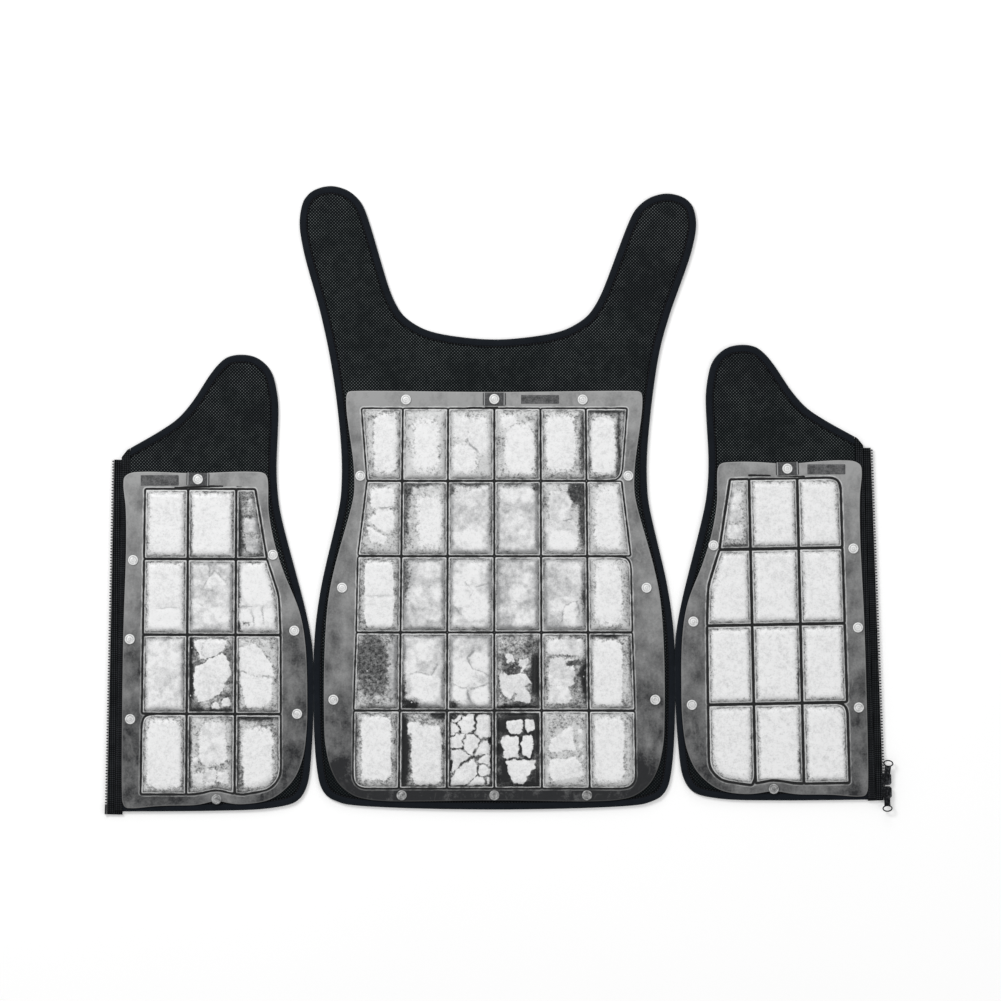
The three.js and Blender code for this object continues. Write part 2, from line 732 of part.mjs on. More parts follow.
function backPanel(outline) {
  const group = new THREE.Group();
  const film = smoothOutline(mirrored(BACK_FILM.map(backPoint)));
  const field = mirrored(BACK_FIELD.map(backPoint)).map(({ x, y }) => new THREE.Vector2(x, y));
  const columns = BACK_COLUMNS.map(({ bottom, top }) => ({
    bottom: (bottom * BACK_WIDTH) / 2,
    top: (top * BACK_WIDTH) / 2,
  }));
  const cells = cellOutlines(field, columns, BACK_ROWS.map((row) => row * BACK_NECK_HEIGHT), 0);
  const studs = mirrored(BACK_STUDS.map(backPoint)).map(({ x, y }) => new THREE.Vector2(x, y));
  group.add(piece('back_shell', paddedShell(outline), MESH_FABRIC));
  group.add(piece('back_binding', foldedBinding(outline), BINDING_TAPE));
  group.add(piece('back_ice_sheet', iceSheet(film, cells, studs), ICE_FILM));
  group.add(piece('back_snap_tab', studTab(studs[0]), TAB_FABRIC));
  addStuds(group, 'back', studs);
  return group;
}

function frontPoint(row) {
  return new THREE.Vector2(row.in * FRONT_WIDTH, row.up * FRONT_LENGTH);
}

// The padding stops at the zip's facing, where only its lower layer runs on under the zip tape.
function frontShell(outline) {
  const step = ZIP_EDGE + FACING_WIDTH + GAP;
  const ledge = MIDDLE - TAPE_THICK / 2 - GAP;
  const far = 2 * (FRONT_WIDTH + FRONT_LENGTH);
  const padding = solidOf(paddedShell(outline))
    .intersect(solidOf(box([ZIP_EDGE, -far, -1], [far, far, PANEL_THICK + 1])))
    .subtract(solidOf(box([-far, -far, ledge], [step, far, PANEL_THICK + 1])));
  const strip = solidOf(box([ZIP_EDGE, -far, -1], [step, far, PANEL_THICK]));
  const layer = solidOf(plate(outline, 0, ledge)).intersect(strip);
  return geometryOf(padding.add(layer));
}

function frontBinding(outline) {
  const start = ZIP_EDGE + FACING_WIDTH + 2 * GAP;
  const far = 2 * (FRONT_WIDTH + FRONT_LENGTH);
  return geometryOf(
    solidOf(foldedBinding(outline)).intersect(solidOf(box([start, -far, -1], [far, far, PANEL_THICK + 1]))),
  );
}

function zipFacing(outline) {
  const bottom = MIDDLE + TAPE_THICK / 2 + GAP;
  const inner = ZIP_EDGE + FACING_WIDTH;
  const strip = box([ZIP_EDGE, -FRONT_LENGTH, bottom - 1], [inner, 2 * FRONT_LENGTH, PANEL_THICK + 1]);
  return geometryOf(solidOf(plate(outline, bottom, PANEL_THICK)).intersect(solidOf(strip)));
}

function frontPanel(side, outline, tail, headWidth) {
  const group = new THREE.Group();
  const film = smoothOutline(FRONT_FILM.map(frontPoint));
  const field = FRONT_FIELD.map(frontPoint);
  const slopeMiddle = (field[0].x + Math.max(...field.map((point) => point.x))) / 2;
  field.forEach((point) => { point.y += ROW_SLOPE * (point.x - slopeMiddle); });
  const columns = FRONT_COLUMNS.map(({ bottom, top }) => ({
    bottom: bottom * FRONT_WIDTH,
    top: top * FRONT_WIDTH,
  }));
  const cells = cellOutlines(field, columns, FRONT_ROWS.map((row) => row * FRONT_LENGTH), ROW_SLOPE);
  const studs = FRONT_STUDS.map(frontPoint);
  group.add(piece(`${side}_shell`, frontShell(outline), MESH_FABRIC));
  group.add(piece(`${side}_binding`, frontBinding(outline), BINDING_TAPE));
  group.add(piece(`${side}_zip_facing`, zipFacing(outline), BINDING_TAPE));
  group.add(piece(`${side}_ice_sheet`, iceSheet(film, cells, studs), ICE_FILM));
  group.add(piece(`${side}_snap_tab`, studTab(studs[0]), TAB_FABRIC));
  addStuds(group, side, studs);
  group.add(piece(`${side}_zip_tape`, zipTape(tail), ZIP_TAPE));
  group.add(piece(`${side}_zip_teeth`, zipTeeth(tail), ZIP_TEETH));
  group.add(piece(`${side}_zip_pin`, zipPin(tail, headWidth), ZIP_TEETH));
  return group;
}

function addSliders(group) {
  const lowerMiddle = STOP_HEIGHT - TAPE_TAIL_RIGHT + GAP + SLIDER_LENGTH / 2;
  const across = CHAIN_WIDTH / 2 - CHANNEL_MIDDLE;
  const rows = [
    { name: 'lower', up: lowerMiddle, turn: Math.PI },
    { name: 'upper', up: lowerMiddle + SLIDER_SPACING, turn: THREE.MathUtils.degToRad(PULL_SWING) },
  ];
  rows.forEach(({ name, up, turn }) => {
    group.add(piece(`${name}_slider`, slider(), SLIDER_METAL, across, up));
    const hanging = piece(`${name}_pull`, pull(), SLIDER_METAL, across, up, HINGE_HEIGHT);
    hanging.rotation.z = turn;
    group.add(hanging);
  });
}

// Half width of a polygon at a height, on the side where x is negative or positive
function reachAt(polygon, height, side) {
  let reach = -Infinity;
  polygon.forEach((point, i) => {
    const next = polygon[(i + 1) % polygon.length];
    if ((point.y - height) * (next.y - height) > 0 || point.y === next.y) return;
    const crossing = point.clone().lerp(next, (height - point.y) / (next.y - point.y));
    reach = Math.max(reach, side * crossing.x);
  });
  return reach;
}

// Leans a front, mirrors it for the right, and slides it up to the back's side edge.
function placeFront(group, outline, back, side, lean, rise) {
  const angle = THREE.MathUtils.degToRad(lean);
  const leaning = outline.map((point) => point.clone().rotateAround(new THREE.Vector2(), -angle));
  leaning.forEach((point) => { point.y += rise; });
  const heights = [...leaning, ...back].map((point) => point.y);
  const spans = heights.map((height) => reachAt(back, height, side) + reachAt(leaning, height, 1));
  const shift = Math.max(...spans.filter(Number.isFinite)) + SEAM_GAP;
  group.scale.x = -side;
  group.rotation.z = side * angle;
  group.position.set(side * shift, rise, 0);
}

const backEdge = backOutline();
const frontEdge = smoothOutline(FRONT_EDGE.map(frontPoint));
const vest = new THREE.Group();
vest.add(backPanel(backEdge));

const leftFront = frontPanel('left', frontEdge, TAPE_TAIL_LEFT, CHAIN_WIDTH);
placeFront(leftFront, frontEdge, backEdge, -1, FRONT_LEAN_LEFT, FRONT_RISE_LEFT);
vest.add(leftFront);

const rightFront = frontPanel('right', frontEdge, TAPE_TAIL_RIGHT, STOP_WIDTH);
addSliders(rightFront);
placeFront(rightFront, frontEdge, backEdge, 1, FRONT_LEAN_RIGHT, FRONT_RISE_RIGHT);
vest.add(rightFront);

// The footprint's middle becomes the origin.
const bounds = new THREE.Box3().setFromObject(vest, true);
const middle = bounds.getCenter(new THREE.Vector3());
vest.children.forEach((panel) => {
  panel.position.x -= middle.x;
  panel.position.y -= middle.y;
  panel.position.z -= bounds.min.z;
});

export default vest;
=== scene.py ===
"""Cooling vest, laid open with its inner side up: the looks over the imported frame.

Lengths are millimetres until a mesh is made. Outlines come from the frame's own solids.
"""

import math

import bmesh
import bpy
import numpy as np
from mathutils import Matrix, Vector
from mathutils.geometry import delaunay_2d_cdt
from mathutils.kdtree import KDTree


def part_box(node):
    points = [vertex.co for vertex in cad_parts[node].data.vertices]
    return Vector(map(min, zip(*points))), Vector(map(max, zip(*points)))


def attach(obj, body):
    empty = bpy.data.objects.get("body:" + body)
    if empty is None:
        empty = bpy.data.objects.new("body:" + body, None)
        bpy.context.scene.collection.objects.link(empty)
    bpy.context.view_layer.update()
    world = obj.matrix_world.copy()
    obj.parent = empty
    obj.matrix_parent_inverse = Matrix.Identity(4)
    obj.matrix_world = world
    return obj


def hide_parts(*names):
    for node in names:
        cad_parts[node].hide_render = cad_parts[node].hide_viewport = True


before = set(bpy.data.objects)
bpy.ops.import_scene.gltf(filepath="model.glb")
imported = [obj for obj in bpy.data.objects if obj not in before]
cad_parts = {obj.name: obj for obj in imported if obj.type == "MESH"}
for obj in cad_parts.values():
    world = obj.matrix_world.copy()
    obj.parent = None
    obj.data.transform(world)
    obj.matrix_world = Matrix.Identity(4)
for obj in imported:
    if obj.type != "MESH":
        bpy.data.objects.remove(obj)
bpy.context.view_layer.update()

MM = 0.001

# Heights above the floor, and the rise of the ice above its weld
PAD_TOP = 6.0
FILM_BOTTOM = 6.32
WELD_TOP = 6.85
FLANGE_TOP = 7.0
ICE_RISE = 8.0

# Panels and their binding
MESH_PITCH = 3.8
PANEL_STEP = 2.6
PAD_STEP = 6.5
OVERRUN = 16.0
BINDING_WIDTH = 10.0
STITCH_INSET = 8.8
STITCH_HEIGHT = 4.85
STITCH_PITCH = 3.4
STITCH_LENGTH = 2.5
THREAD_RADIUS = 0.3

# Zip
ZIP_LENGTH = 422.0
CHAIN_WIDTH = 2.4
TOOTH_PITCH = 3.5
ZIP_EDGE = 11.5
FACING_WIDTH = 10.0
GAP = 0.3

# Ice sheets
MESH_STEP = 1.6
FLANGE_STEP = 3.6
OUTLINE_STEP = 2.4
WELD_HALF = 2.2
FAR = 15.0
# Where a sheet's upper face lies in the frame, and the smallest cell in it: smaller loops are studs' holes
SHEET_FACE = 7.3
SMALLEST_CELL = 60.0


# Numbers and curves

def smooth_step(value, low, high):
    share = np.clip((np.asarray(value, float) - low) / (high - low), 0, 1)
    return share * share * (3 - 2 * share)


def noise(points, size, seed):
    """Smooth noise from -1 to 1, in lumps about as wide as the size."""
    table = np.random.default_rng(seed).uniform(-1, 1, (64, 64))
    place = np.asarray(points, float)[:, :2] / size + 640
    cell = np.floor(place).astype(int)
    part = place - cell
    part = part * part * (3 - 2 * part)
    x0, y0 = (cell % 64).T
    x1, y1 = ((cell + 1) % 64).T
    low = table[x0, y0] * (1 - part[:, 0]) + table[x1, y0] * part[:, 0]
    high = table[x0, y1] * (1 - part[:, 0]) + table[x1, y1] * part[:, 0]
    return low * (1 - part[:, 1]) + high * part[:, 1]


def evenly(points, step, closed):
    """The line through the points, cut into even steps."""
    line = np.vstack([points, points[:1]]) if closed else np.asarray(points, float)
    reach = np.concatenate([[0], np.cumsum(np.linalg.norm(np.diff(line, axis=0), axis=1))])
    count = max(3, int(round(reach[-1] / step)))
    marks = np.linspace(0, reach[-1], count + 1)
    if closed:
        marks = marks[:-1]
    return np.column_stack([np.interp(marks, reach, line[:, axis]) for axis in range(line.shape[1])])


def smooth_path(points, step, closed=True):
    """A centripetal curve through the points, at even steps."""
    p = np.asarray(points, float)
    if closed:
        p = np.vstack([p[-1:], p, p[:2]])
    else:
        p = np.vstack([2 * p[0] - p[1], p, 2 * p[-1] - p[-2]])
    made = []
    for p0, p1, p2, p3 in zip(p, p[1:], p[2:], p[3:]):
        t0, t1, t2 = (np.linalg.norm(b - a) ** 0.5 for a, b in ((p0, p1), (p1, p2), (p2, p3)))
        start = (p2 - p1) + t1 * ((p1 - p0) / t0 - (p2 - p0) / (t0 + t1))
        end = (p2 - p1) + t1 * ((p3 - p2) / t2 - (p3 - p1) / (t1 + t2))
        s = np.linspace(0, 1, 12, endpoint=False)[:, None]
        made.append(
            p1 * (2 * s**3 - 3 * s**2 + 1) + start * (s**3 - 2 * s**2 + s)
            + p2 * (3 * s**2 - 2 * s**3) + end * (s**3 - s**2)
        )
    line = np.vstack(made + ([] if closed else [p[-2:-1]]))
    return evenly(line, step, closed)


def area(loop):
    x, y = loop.T
    return 0.5 * np.sum(x * np.roll(y, -1) - y * np.roll(x, -1))


def side_normals(path, closed):
    """Unit normals on the left of the path."""
    if closed:
        along = np.roll(path, -1, axis=0) - np.roll(path, 1, axis=0)
    else:
        along = np.gradient(path, axis=0)
    along /= np.linalg.norm(along, axis=1)[:, None]
    return np.column_stack([-along[:, 1], along[:, 0]])


def offset(path, normals, distance, closed=True):
    """The path moved along its normals, with the places where it would cross itself drawn together."""
    moved = path + normals * distance
    if abs(distance) < 1:
        return moved
    near = np.array([np.min(np.linalg.norm(path - point, axis=1)) for point in moved])
    good = near > abs(distance) * 0.97 - 0.1
    if good.all():
        return moved
    index = np.arange(len(moved))
    period = len(moved) if closed else None
    for axis in range(2):
        moved[:, axis] = np.interp(index, index[good], moved[good, axis], period=period)
    return moved


def distance_to(line, points):
    """Distance of each point to a line that is given at close steps."""
    tree = KDTree(len(line))
    for i, (x, y) in enumerate(line):
        tree.insert((x, y, 0), i)
    tree.balance()
    return np.array([tree.find((x, y, 0))[2] for x, y in points])


def from_segment(points, a, b):
    """Distance to a segment, and the share of the way along it."""
    share = np.clip((points - a) @ (b - a) / ((b - a) @ (b - a)), 0, 1)
    return np.linalg.norm(points - a - share[:, None] * (b - a), axis=1), share


def signed_distance(points, polygon):
    """Distance to a polygon's edge, positive outside it."""
    best = np.full(len(points), np.inf)
    inside = np.zeros(len(points), bool)
    for a, b in zip(polygon, np.roll(polygon, -1, axis=0)):
        best = np.minimum(best, from_segment(points, a, b)[0])
        crosses = (a[1] > points[:, 1]) != (b[1] > points[:, 1])
        with np.errstate(divide="ignore", invalid="ignore"):
            where = a[0] + (points[:, 1] - a[1]) * (b - a)[0] / (b - a)[1]
        inside ^= crosses & (points[:, 0] < where)
    return np.where(inside, -best, best)


def in_box(points, outline, reach):
    """Which points lie in the box round an outline, widened by the reach."""
    low, high = outline.min(axis=0) - reach, outline.max(axis=0) + reach
    return np.nonzero(np.all((points > low) & (points < high), axis=1))[0]


def mitred(polygon, distance):
    """An anticlockwise polygon moved inward, or outward by a negative distance."""
    before = polygon - np.roll(polygon, 1, axis=0)
    first = np.column_stack([-before[:, 1], before[:, 0]]) / np.linalg.norm(before, axis=1)[:, None]
    second = np.roll(first, -1, axis=0)
    return polygon + (first + second) * distance / (1 + np.sum(first * second, axis=1))[:, None]


def squared(polygon, longest=10.6):
    """The polygon with each short cut corner drawn out to the point where its long sides meet."""
    corners = list(polygon)
    i = 0
    while i < len(corners) and len(corners) > 3:
        a, b, c, d = (corners[(i + k) % len(corners)] for k in (-1, 0, 1, 2))
        first, second = b - a, c - d
        cross = first[0] * second[1] - first[1] * second[0]
        if np.linalg.norm(c - b) < longest and abs(cross) > 1e-6:
            share = ((c - a)[0] * second[1] - (c - a)[1] * second[0]) / cross
            meeting = a + first * share
            if share > 1 and max(np.linalg.norm(meeting - b), np.linalg.norm(meeting - c)) < longest:
                corners[i] = meeting
                corners.pop((i + 1) % len(corners))
        i += 1
    return np.array(corners)


def eased(polygon):
    """The polygon with its blunt corners, but not its square ones, turned into short curves."""
    points = []
    for before, here, after in zip(np.roll(polygon, 1, axis=0), polygon, np.roll(polygon, -1, axis=0)):
        first, second = here - before, after - here
        lengths = np.linalg.norm(first), np.linalg.norm(second)
        turn = math.degrees(math.acos(np.clip(first @ second / (lengths[0] * lengths[1]), -1, 1)))
        if 12 < turn < 68:
            start = here - first * min(0.45, 9 / lengths[0])
            end = here + second * min(0.45, 9 / lengths[1])
            for s in (0, 0.25, 0.5, 0.75, 1):
                points.append(start * (1 - s) ** 2 + here * 2 * s * (1 - s) + end * s * s)
        else:
            points.append(here)
    return np.array(points)


def grid_in(low, high, step):
    """Staggered rows of points over a rectangle."""
    rows = []
    for i, y in enumerate(np.arange(low[1], high[1], step * 0.87)):
        x = np.arange(low[0] + (i % 2) * step / 2, high[0], step)
        rows.append(np.column_stack([x, np.full(len(x), y)]))
    return np.vstack(rows)


# Outlines from the frame

def node_points(node):
    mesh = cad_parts[node].data
    points = np.empty(len(mesh.vertices) * 3)
    mesh.vertices.foreach_get("co", points)
    return points.reshape(-1, 3) / MM


def loops_at(node, height):
    """Closed loops that bound a node's flat faces at a height, the largest first."""
    keys, index = np.unique(np.round(node_points(node), 2), axis=0, return_inverse=True)
    index = index.ravel()
    edges = set()
    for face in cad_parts[node].data.polygons:
        corners = [int(index[v]) for v in face.vertices]
        if all(abs(keys[c][2] - height) < 0.03 for c in corners):
            edges.update(zip(corners, corners[1:] + corners[:1]))
    following = {a: b for a, b in edges if (b, a) not in edges}
    loops = []
    while following:
        start, here = following.popitem()
        chain = [start]
        while here != start and here in following:
            chain.append(here)
            here = following.pop(here)
        loop = keys[chain][:, :2]
        loops.append(loop if area(loop) > 0 else loop[::-1])
    return sorted(loops, key=lambda loop: -area(loop))


class Side:
    """A front panel's own frame: in from the tips of its teeth, and up from its hem."""

    def __init__(self, name):
        tape = node_points(f"{name}_zip_tape")[:, :2]
        corners = np.unique(np.round(tape, 2), axis=0)
        middle = corners.mean(axis=0)
        ends = corners[np.argsort(corners[:, 1])]
        self.name = name
        self.up = (ends[-2:].mean(axis=0) - ends[:2].mean(axis=0))
        self.up /= np.linalg.norm(self.up)
        self.inward = np.array([self.up[1], -self.up[0]]) * (1 if middle[0] < 0 else -1)
        self.origin = np.zeros(2)
        reach = self.local(corners)
        start = [reach[:, 0].min() - CHAIN_WIDTH - GAP, reach[:, 1].max() - ZIP_LENGTH]
        self.origin = start[0] * self.inward + start[1] * self.up
        self.tail = -(reach[:, 1].min() - start[1])

    def local(self, points):
        moved = np.asarray(points, float)[:, :2] - self.origin
        return np.column_stack([moved @ self.inward, moved @ self.up])

    def world(self, points):
        points = np.asarray(points, float)
        flat = self.origin + points[:, :1] * self.inward + points[:, 1:2] * self.up
        return np.column_stack([flat, points[:, 2:]])


# Meshes

def add_mesh(name, vertices, faces, material, slot, body="vest", replaces=(), fields=None):
    """A piece from points in millimetres, with its normals turned outward."""
    mesh = bpy.data.meshes.new(name)
    mesh.from_pydata((np.asarray(vertices, float) * MM).tolist(), [], [list(map(int, f)) for f in faces])
    shape = bmesh.new()
    shape.from_mesh(mesh)
    bmesh.ops.recalc_face_normals(shape, faces=shape.faces)
    shape.to_mesh(mesh)
    shape.free()
    mesh.polygons.foreach_set("use_smooth", np.full(len(mesh.polygons), True))
    for key, values in (fields or {}).items():
        mesh.attributes.new(key, "FLOAT", "POINT").data.foreach_set("value", np.asarray(values, np.float32))
    mesh.materials.append(material)
    piece = bpy.data.objects.new(name, mesh)
    bpy.context.scene.collection.objects.link(piece)
    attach(piece, body)
    if replaces:
        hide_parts(*replaces)
    return piece


def triangles(loop, points):
    """Triangles through a loop and points inside it: flat points, faces, and the loop's place among them."""
    both = np.vstack([loop, points]) if len(points) else loop
    edges = [(i, (i + 1) % len(loop)) for i in range(len(loop))]
    coordinates = [Vector(map(float, p)) for p in both]
    flat, _, faces, came_from, _, _ = delaunay_2d_cdt(coordinates, edges, [], 1, 0.02)
    flat = np.array([(p.x, p.y) for p in flat])
    used = np.unique(np.array(faces).ravel())
    renumber = np.full(len(flat), -1)
    renumber[used] = np.arange(len(used))
    went = {}
    for new, old in enumerate(came_from):
        for i in old:
            went[i] = renumber[new]
    rim = [went[i] for i in range(len(loop))]
    return flat[used], renumber[np.array(faces)], rim


def shut(upper, lower):
    """A closed solid from an upper and a lower surface, each its points, faces and rim."""
    high, faces, rim = upper
    low, faces_low, rim_low = lower
    count = len(high)
    solid = [tuple(f) for f in faces] + [tuple(f[::-1] + count) for f in faces_low]
    for i in range(len(rim)):
        j = (i + 1) % len(rim)
        solid.append((rim[i], rim[j], rim_low[j] + count, rim_low[i] + count))
    return np.vstack([high, low]), solid


def slab(loop, points, top, bottom):
    """A closed solid over a loop between two surfaces, each a height or a function of the flat points."""
    flat, faces, rim = triangles(loop, points)
    surfaces = []
    for height in (top, bottom):
        z = height(flat) if callable(height) else np.full(len(flat), height)
        surfaces.append((np.column_stack([flat, z]), faces, rim))
    return shut(*surfaces)


def tube(rings, closed=False):
    """Rings of points, each joined to the next, and the last to the first or both ends capped."""
    count, around = len(rings), len(rings[0])
    faces = []
    for a in range(count if closed else count - 1):
        b = (a + 1) % count
        for i in range(around):
            j = (i + 1) % around
            faces.append((a * around + i, a * around + j, b * around + j, b * around + i))
    if not closed:
        faces.append(tuple(range(around))[::-1])
        faces.append(tuple(range((count - 1) * around, count * around)))
    return np.vstack(rings), faces


def swept(path, normals, section, closed=True):
    """A closed section of (inset, height) rows carried along a path."""
    ones = np.ones(len(path))
    lines = [np.column_stack([offset(path, normals, inset, closed), ones * z]) for inset, z in section]
    return tube(np.array(lines).transpose(1, 0, 2), closed)


def joined(parts):
    """Several (points, faces) as one."""
    vertices, faces, start = [], [], 0
    for points, own in parts:
        vertices.append(points)
        faces += [tuple(v + start for v in face) for face in own]
        start += len(points)
    return np.vstack(vertices), faces


def lathed(profile, sides, centre):
    """(radius, height) rows turned about an upright axis. The first and last rows lie on it."""
    angle = np.arange(sides) / sides * 2 * math.pi
    turn = np.column_stack([np.cos(angle), np.sin(angle)])
    rings = [np.column_stack([turn * r + centre, np.full(sides, z)]) for r, z in profile[1:-1]]
    ends = np.array([[*centre, profile[0][1]], [*centre, profile[-1][1]]])
    foot = len(rings) * sides
    faces = []
    for i in range(sides):
        j = (i + 1) % sides
        faces.append((foot, j, i))
        for low in range(0, foot - sides, sides):
            faces.append((low + i, low + j, low + sides + j, low + sides + i))
        faces.append((foot + 1, foot - sides + i, foot - sides + j))
    return np.vstack(rings + [ends]), faces


def stitches(line, height, closed=True):
    """A row of thread: a short round stitch at each step of a flat line."""
    marks = evenly(line, STITCH_PITCH, closed)
    sides = 6
    angle = np.arange(sides) / sides * 2 * math.pi
    # Share of the length, of the radius, and of the drop at a stitch's rings
    rows = [(-0.5, 0.45, -0.55), (-0.3, 1, 0), (0.3, 1, 0), (0.5, 0.45, -0.55)]
    parts = []
    for centre, across in zip(marks, side_normals(marks, closed)):
        way = np.array([across[1], -across[0]])
        rings = []
        for share, wide, drop in rows:
            flat = centre + way * share * STITCH_LENGTH
            sideways = flat + np.cos(angle)[:, None] * across * THREAD_RADIUS * wide
            z = height + (drop + np.sin(angle) * wide) * THREAD_RADIUS
            rings.append(np.column_stack([sideways, z]))
        parts.append(tube(rings))
    return joined(parts)


def cut_at(piece, point, normal):
    """Cuts off what lies behind a plane and closes the cut. Millimetres."""
    shape = bmesh.new()
    shape.from_mesh(piece.data)
    everything = shape.verts[:] + shape.edges[:] + shape.faces[:]
    bmesh.ops.bisect_plane(
        shape, geom=everything, dist=1e-7, plane_co=Vector(point) * MM, plane_no=Vector(normal),
        clear_inner=True,
    )
    bmesh.ops.holes_fill(shape, edges=[e for e in shape.edges if e.is_boundary], sides=0)
    bmesh.ops.recalc_face_normals(shape, faces=shape.faces)
    shape.to_mesh(piece.data)
    shape.free()


# Looks

class Value:
    """A node's output that adds, subtracts and multiplies as a number does."""

    def __init__(self, look, socket):
        self.look, self.socket = look, socket

    def __add__(self, other):
        return self.look.math("ADD", self, other)

    def __sub__(self, other):
        return self.look.math("SUBTRACT", self, other)

    def __mul__(self, other):
        return self.look.math("MULTIPLY", self, other)


class Look:
    """A procedural material, built node by node."""

    def __init__(self, name, **constants):
        self.material = bpy.data.materials.new(name)
        self.material.use_nodes = True
        self.tree = self.material.node_tree
        self.shader = self.tree.nodes["Principled BSDF"]
        for key, value in constants.items():
            self.shader.inputs[key.replace("_", " ")].default_value = value
        self.place = self.node("ShaderNodeTexCoord", "Object")

    def node(self, kind, output, inputs=None, **settings):
        made = self.tree.nodes.new(kind)
        for key, value in settings.items():
            setattr(made, key, value)
        for key, value in (inputs or {}).items():
            self.feed(made.inputs[key], value)
        return Value(self, made.outputs[output])

    def feed(self, socket, value):
        if isinstance(value, Value):
            self.tree.links.new(value.socket, socket)
        else:
            socket.default_value = value

    def math(self, operation, a, b=0.0):
        return self.node("ShaderNodeMath", 0, {0: a, 1: b}, operation=operation)

    def flat_place(self):
        return [self.node("ShaderNodeSeparateXYZ", axis, {0: self.place}) for axis in (0, 1)]

    def step(self, value, low, high, start=0.0, end=1.0):
        """Goes smoothly from start to end as the value goes from low to high."""
        inputs = {"Value": value, "From Min": low, "From Max": high, "To Min": start, "To Max": end}
        return self.node("ShaderNodeMapRange", 0, inputs, interpolation_type="SMOOTHSTEP")

    def band(self, value, middle, half, soft):
        """One where the value is within half of the middle."""
        return self.step(self.math("ABSOLUTE", value - middle), half, half + soft, 1.0, 0.0)

    def mix(self, share, a, b):
        """From a to b as the share goes from 0 to 1. A number is a grey."""
        colors = [value if isinstance(value, Value) else grey(value) for value in (a, b)]
        return self.node("ShaderNodeMix", 2, {0: share, 6: colors[0], 7: colors[1]}, data_type="RGBA")

    def noise(self, size, detail=3.0, rough=0.55, stretch=None):
        """Noise from 0 to 1 in lumps of a size in millimetres."""
        place = self.place
        if stretch:
            place = self.node("ShaderNodeMapping", 0, {"Vector": place, "Scale": stretch})
        inputs = {"Vector": place, "Scale": 1 / (size * MM), "Detail": detail, "Roughness": rough}
        return self.node("ShaderNodeTexNoise", "Fac", inputs)

    def sway(self, *sizes, **more):
        """Noise from -0.5 to 0.5."""
        return self.noise(*sizes, **more) - 0.5

    def attribute(self, name):
        return self.node("ShaderNodeAttribute", "Fac", attribute_name=name)

    def bump(self, height, distance, strength=1.0):
        inputs = {"Height": height, "Distance": distance * MM, "Strength": strength}
        return self.node("ShaderNodeBump", 0, inputs)

    def wear(self, color, roughness=None, normal=None):
        for key, value in {"Base Color": color, "Roughness": roughness, "Normal": normal}.items():
            if value is not None:
                self.feed(self.shader.inputs[key], value)
        return self.material


def grey(value):
    return (*value, 1.0) if isinstance(value, tuple) else (value, value, value, 1.0)


def mesh_fabric():
    """Black spacer mesh: a diagonal lattice of knit loops round small holes."""
    look = Look("mesh_fabric", Specular_IOR_Level=0.04)
    right, up = look.flat_place()
    drift = look.sway(16, 2) * 0.0012
    x, y = right + drift, up - drift
    turn = 2 * math.pi / (MESH_PITCH * MM)
    weave = (look.math("COSINE", (x + y) * turn) + look.math("COSINE", (x - y) * turn)) * 0.5
    loops = look.step(weave, 0.3, 0.95)
    holes = look.step(weave, -0.55, -0.95)
    patches_and_shade = look.step(look.noise(9, 3) + look.noise(70, 2), 0.75, 1.25, 0.4, 1.0)
    # Painted shade: the knit darkens towards the bottom of the vest
    patches_and_shade = patches_and_shade * look.step(up, -0.24, -0.1, 0.3, 1.0)
    fibre = look.noise(0.5, 2)
    base = look.mix(fibre, (0.003, 0.0045, 0.0055), (0.0065, 0.0085, 0.0095))
    lit = look.mix(loops * patches_and_shade, base, (0.135, 0.15, 0.15))
    color = look.mix(holes, lit, (0.002, 0.0025, 0.003))
    rough = look.step(fibre, 0.2, 0.8, 0.75, 0.95)
    return look.wear(color, rough, look.bump(weave + fibre * 0.25, 0.35, 0.7))


def ribbed_tape(name, dark, light, pitch=0.9, share=0.3, groove_shade=None, sunk=0.12):
    """Woven tape: fine ribs with a soft lustre, painted shade along a stitched groove at a distance in from
    its edge, and a painted sheen on its folded edge.
    """
    look = Look(name, Specular_IOR_Level=0.06)
    x, y = look.flat_place()
    turn = 2 * math.pi / (pitch * MM)
    weave = look.math("SINE", (x + y) * turn) * look.math("SINE", (x - y) * turn)
    patches_and_shade = look.noise(12, 3)
    color = look.mix(weave * share + (patches_and_shade - sunk), dark, light)
    if groove_shade:
        inset = look.attribute("inset_mm")
        # Painted shade along the stitched groove by the tape's inner edge
        color = look.mix(look.band(inset, *groove_shade), color, (0.001, 0.001, 0.0015))
        # Painted sheen: the folded outer edge of the tape is lighter, in patches
        wear_and_sheen = look.step(inset, 1.6, 0.2) * look.step(patches_and_shade, 0.4, 0.6, 0.3, 0.8)
        color = look.mix(wear_and_sheen, color, (0.035, 0.04, 0.045))
    return look.wear(color, look.step(patches_and_shade, 0.3, 0.7, 0.62, 0.82), look.bump(weave, 0.12, 0.6))


def thread_look():
    look = Look("thread", Specular_IOR_Level=0.4)
    twist = look.noise(0.4, 1, stretch=(1, 3, 1))
    color = look.mix(twist, (0.006, 0.007, 0.009), (0.02, 0.022, 0.027))
    return look.wear(color, look.step(twist, 0.3, 0.7, 0.45, 0.65))


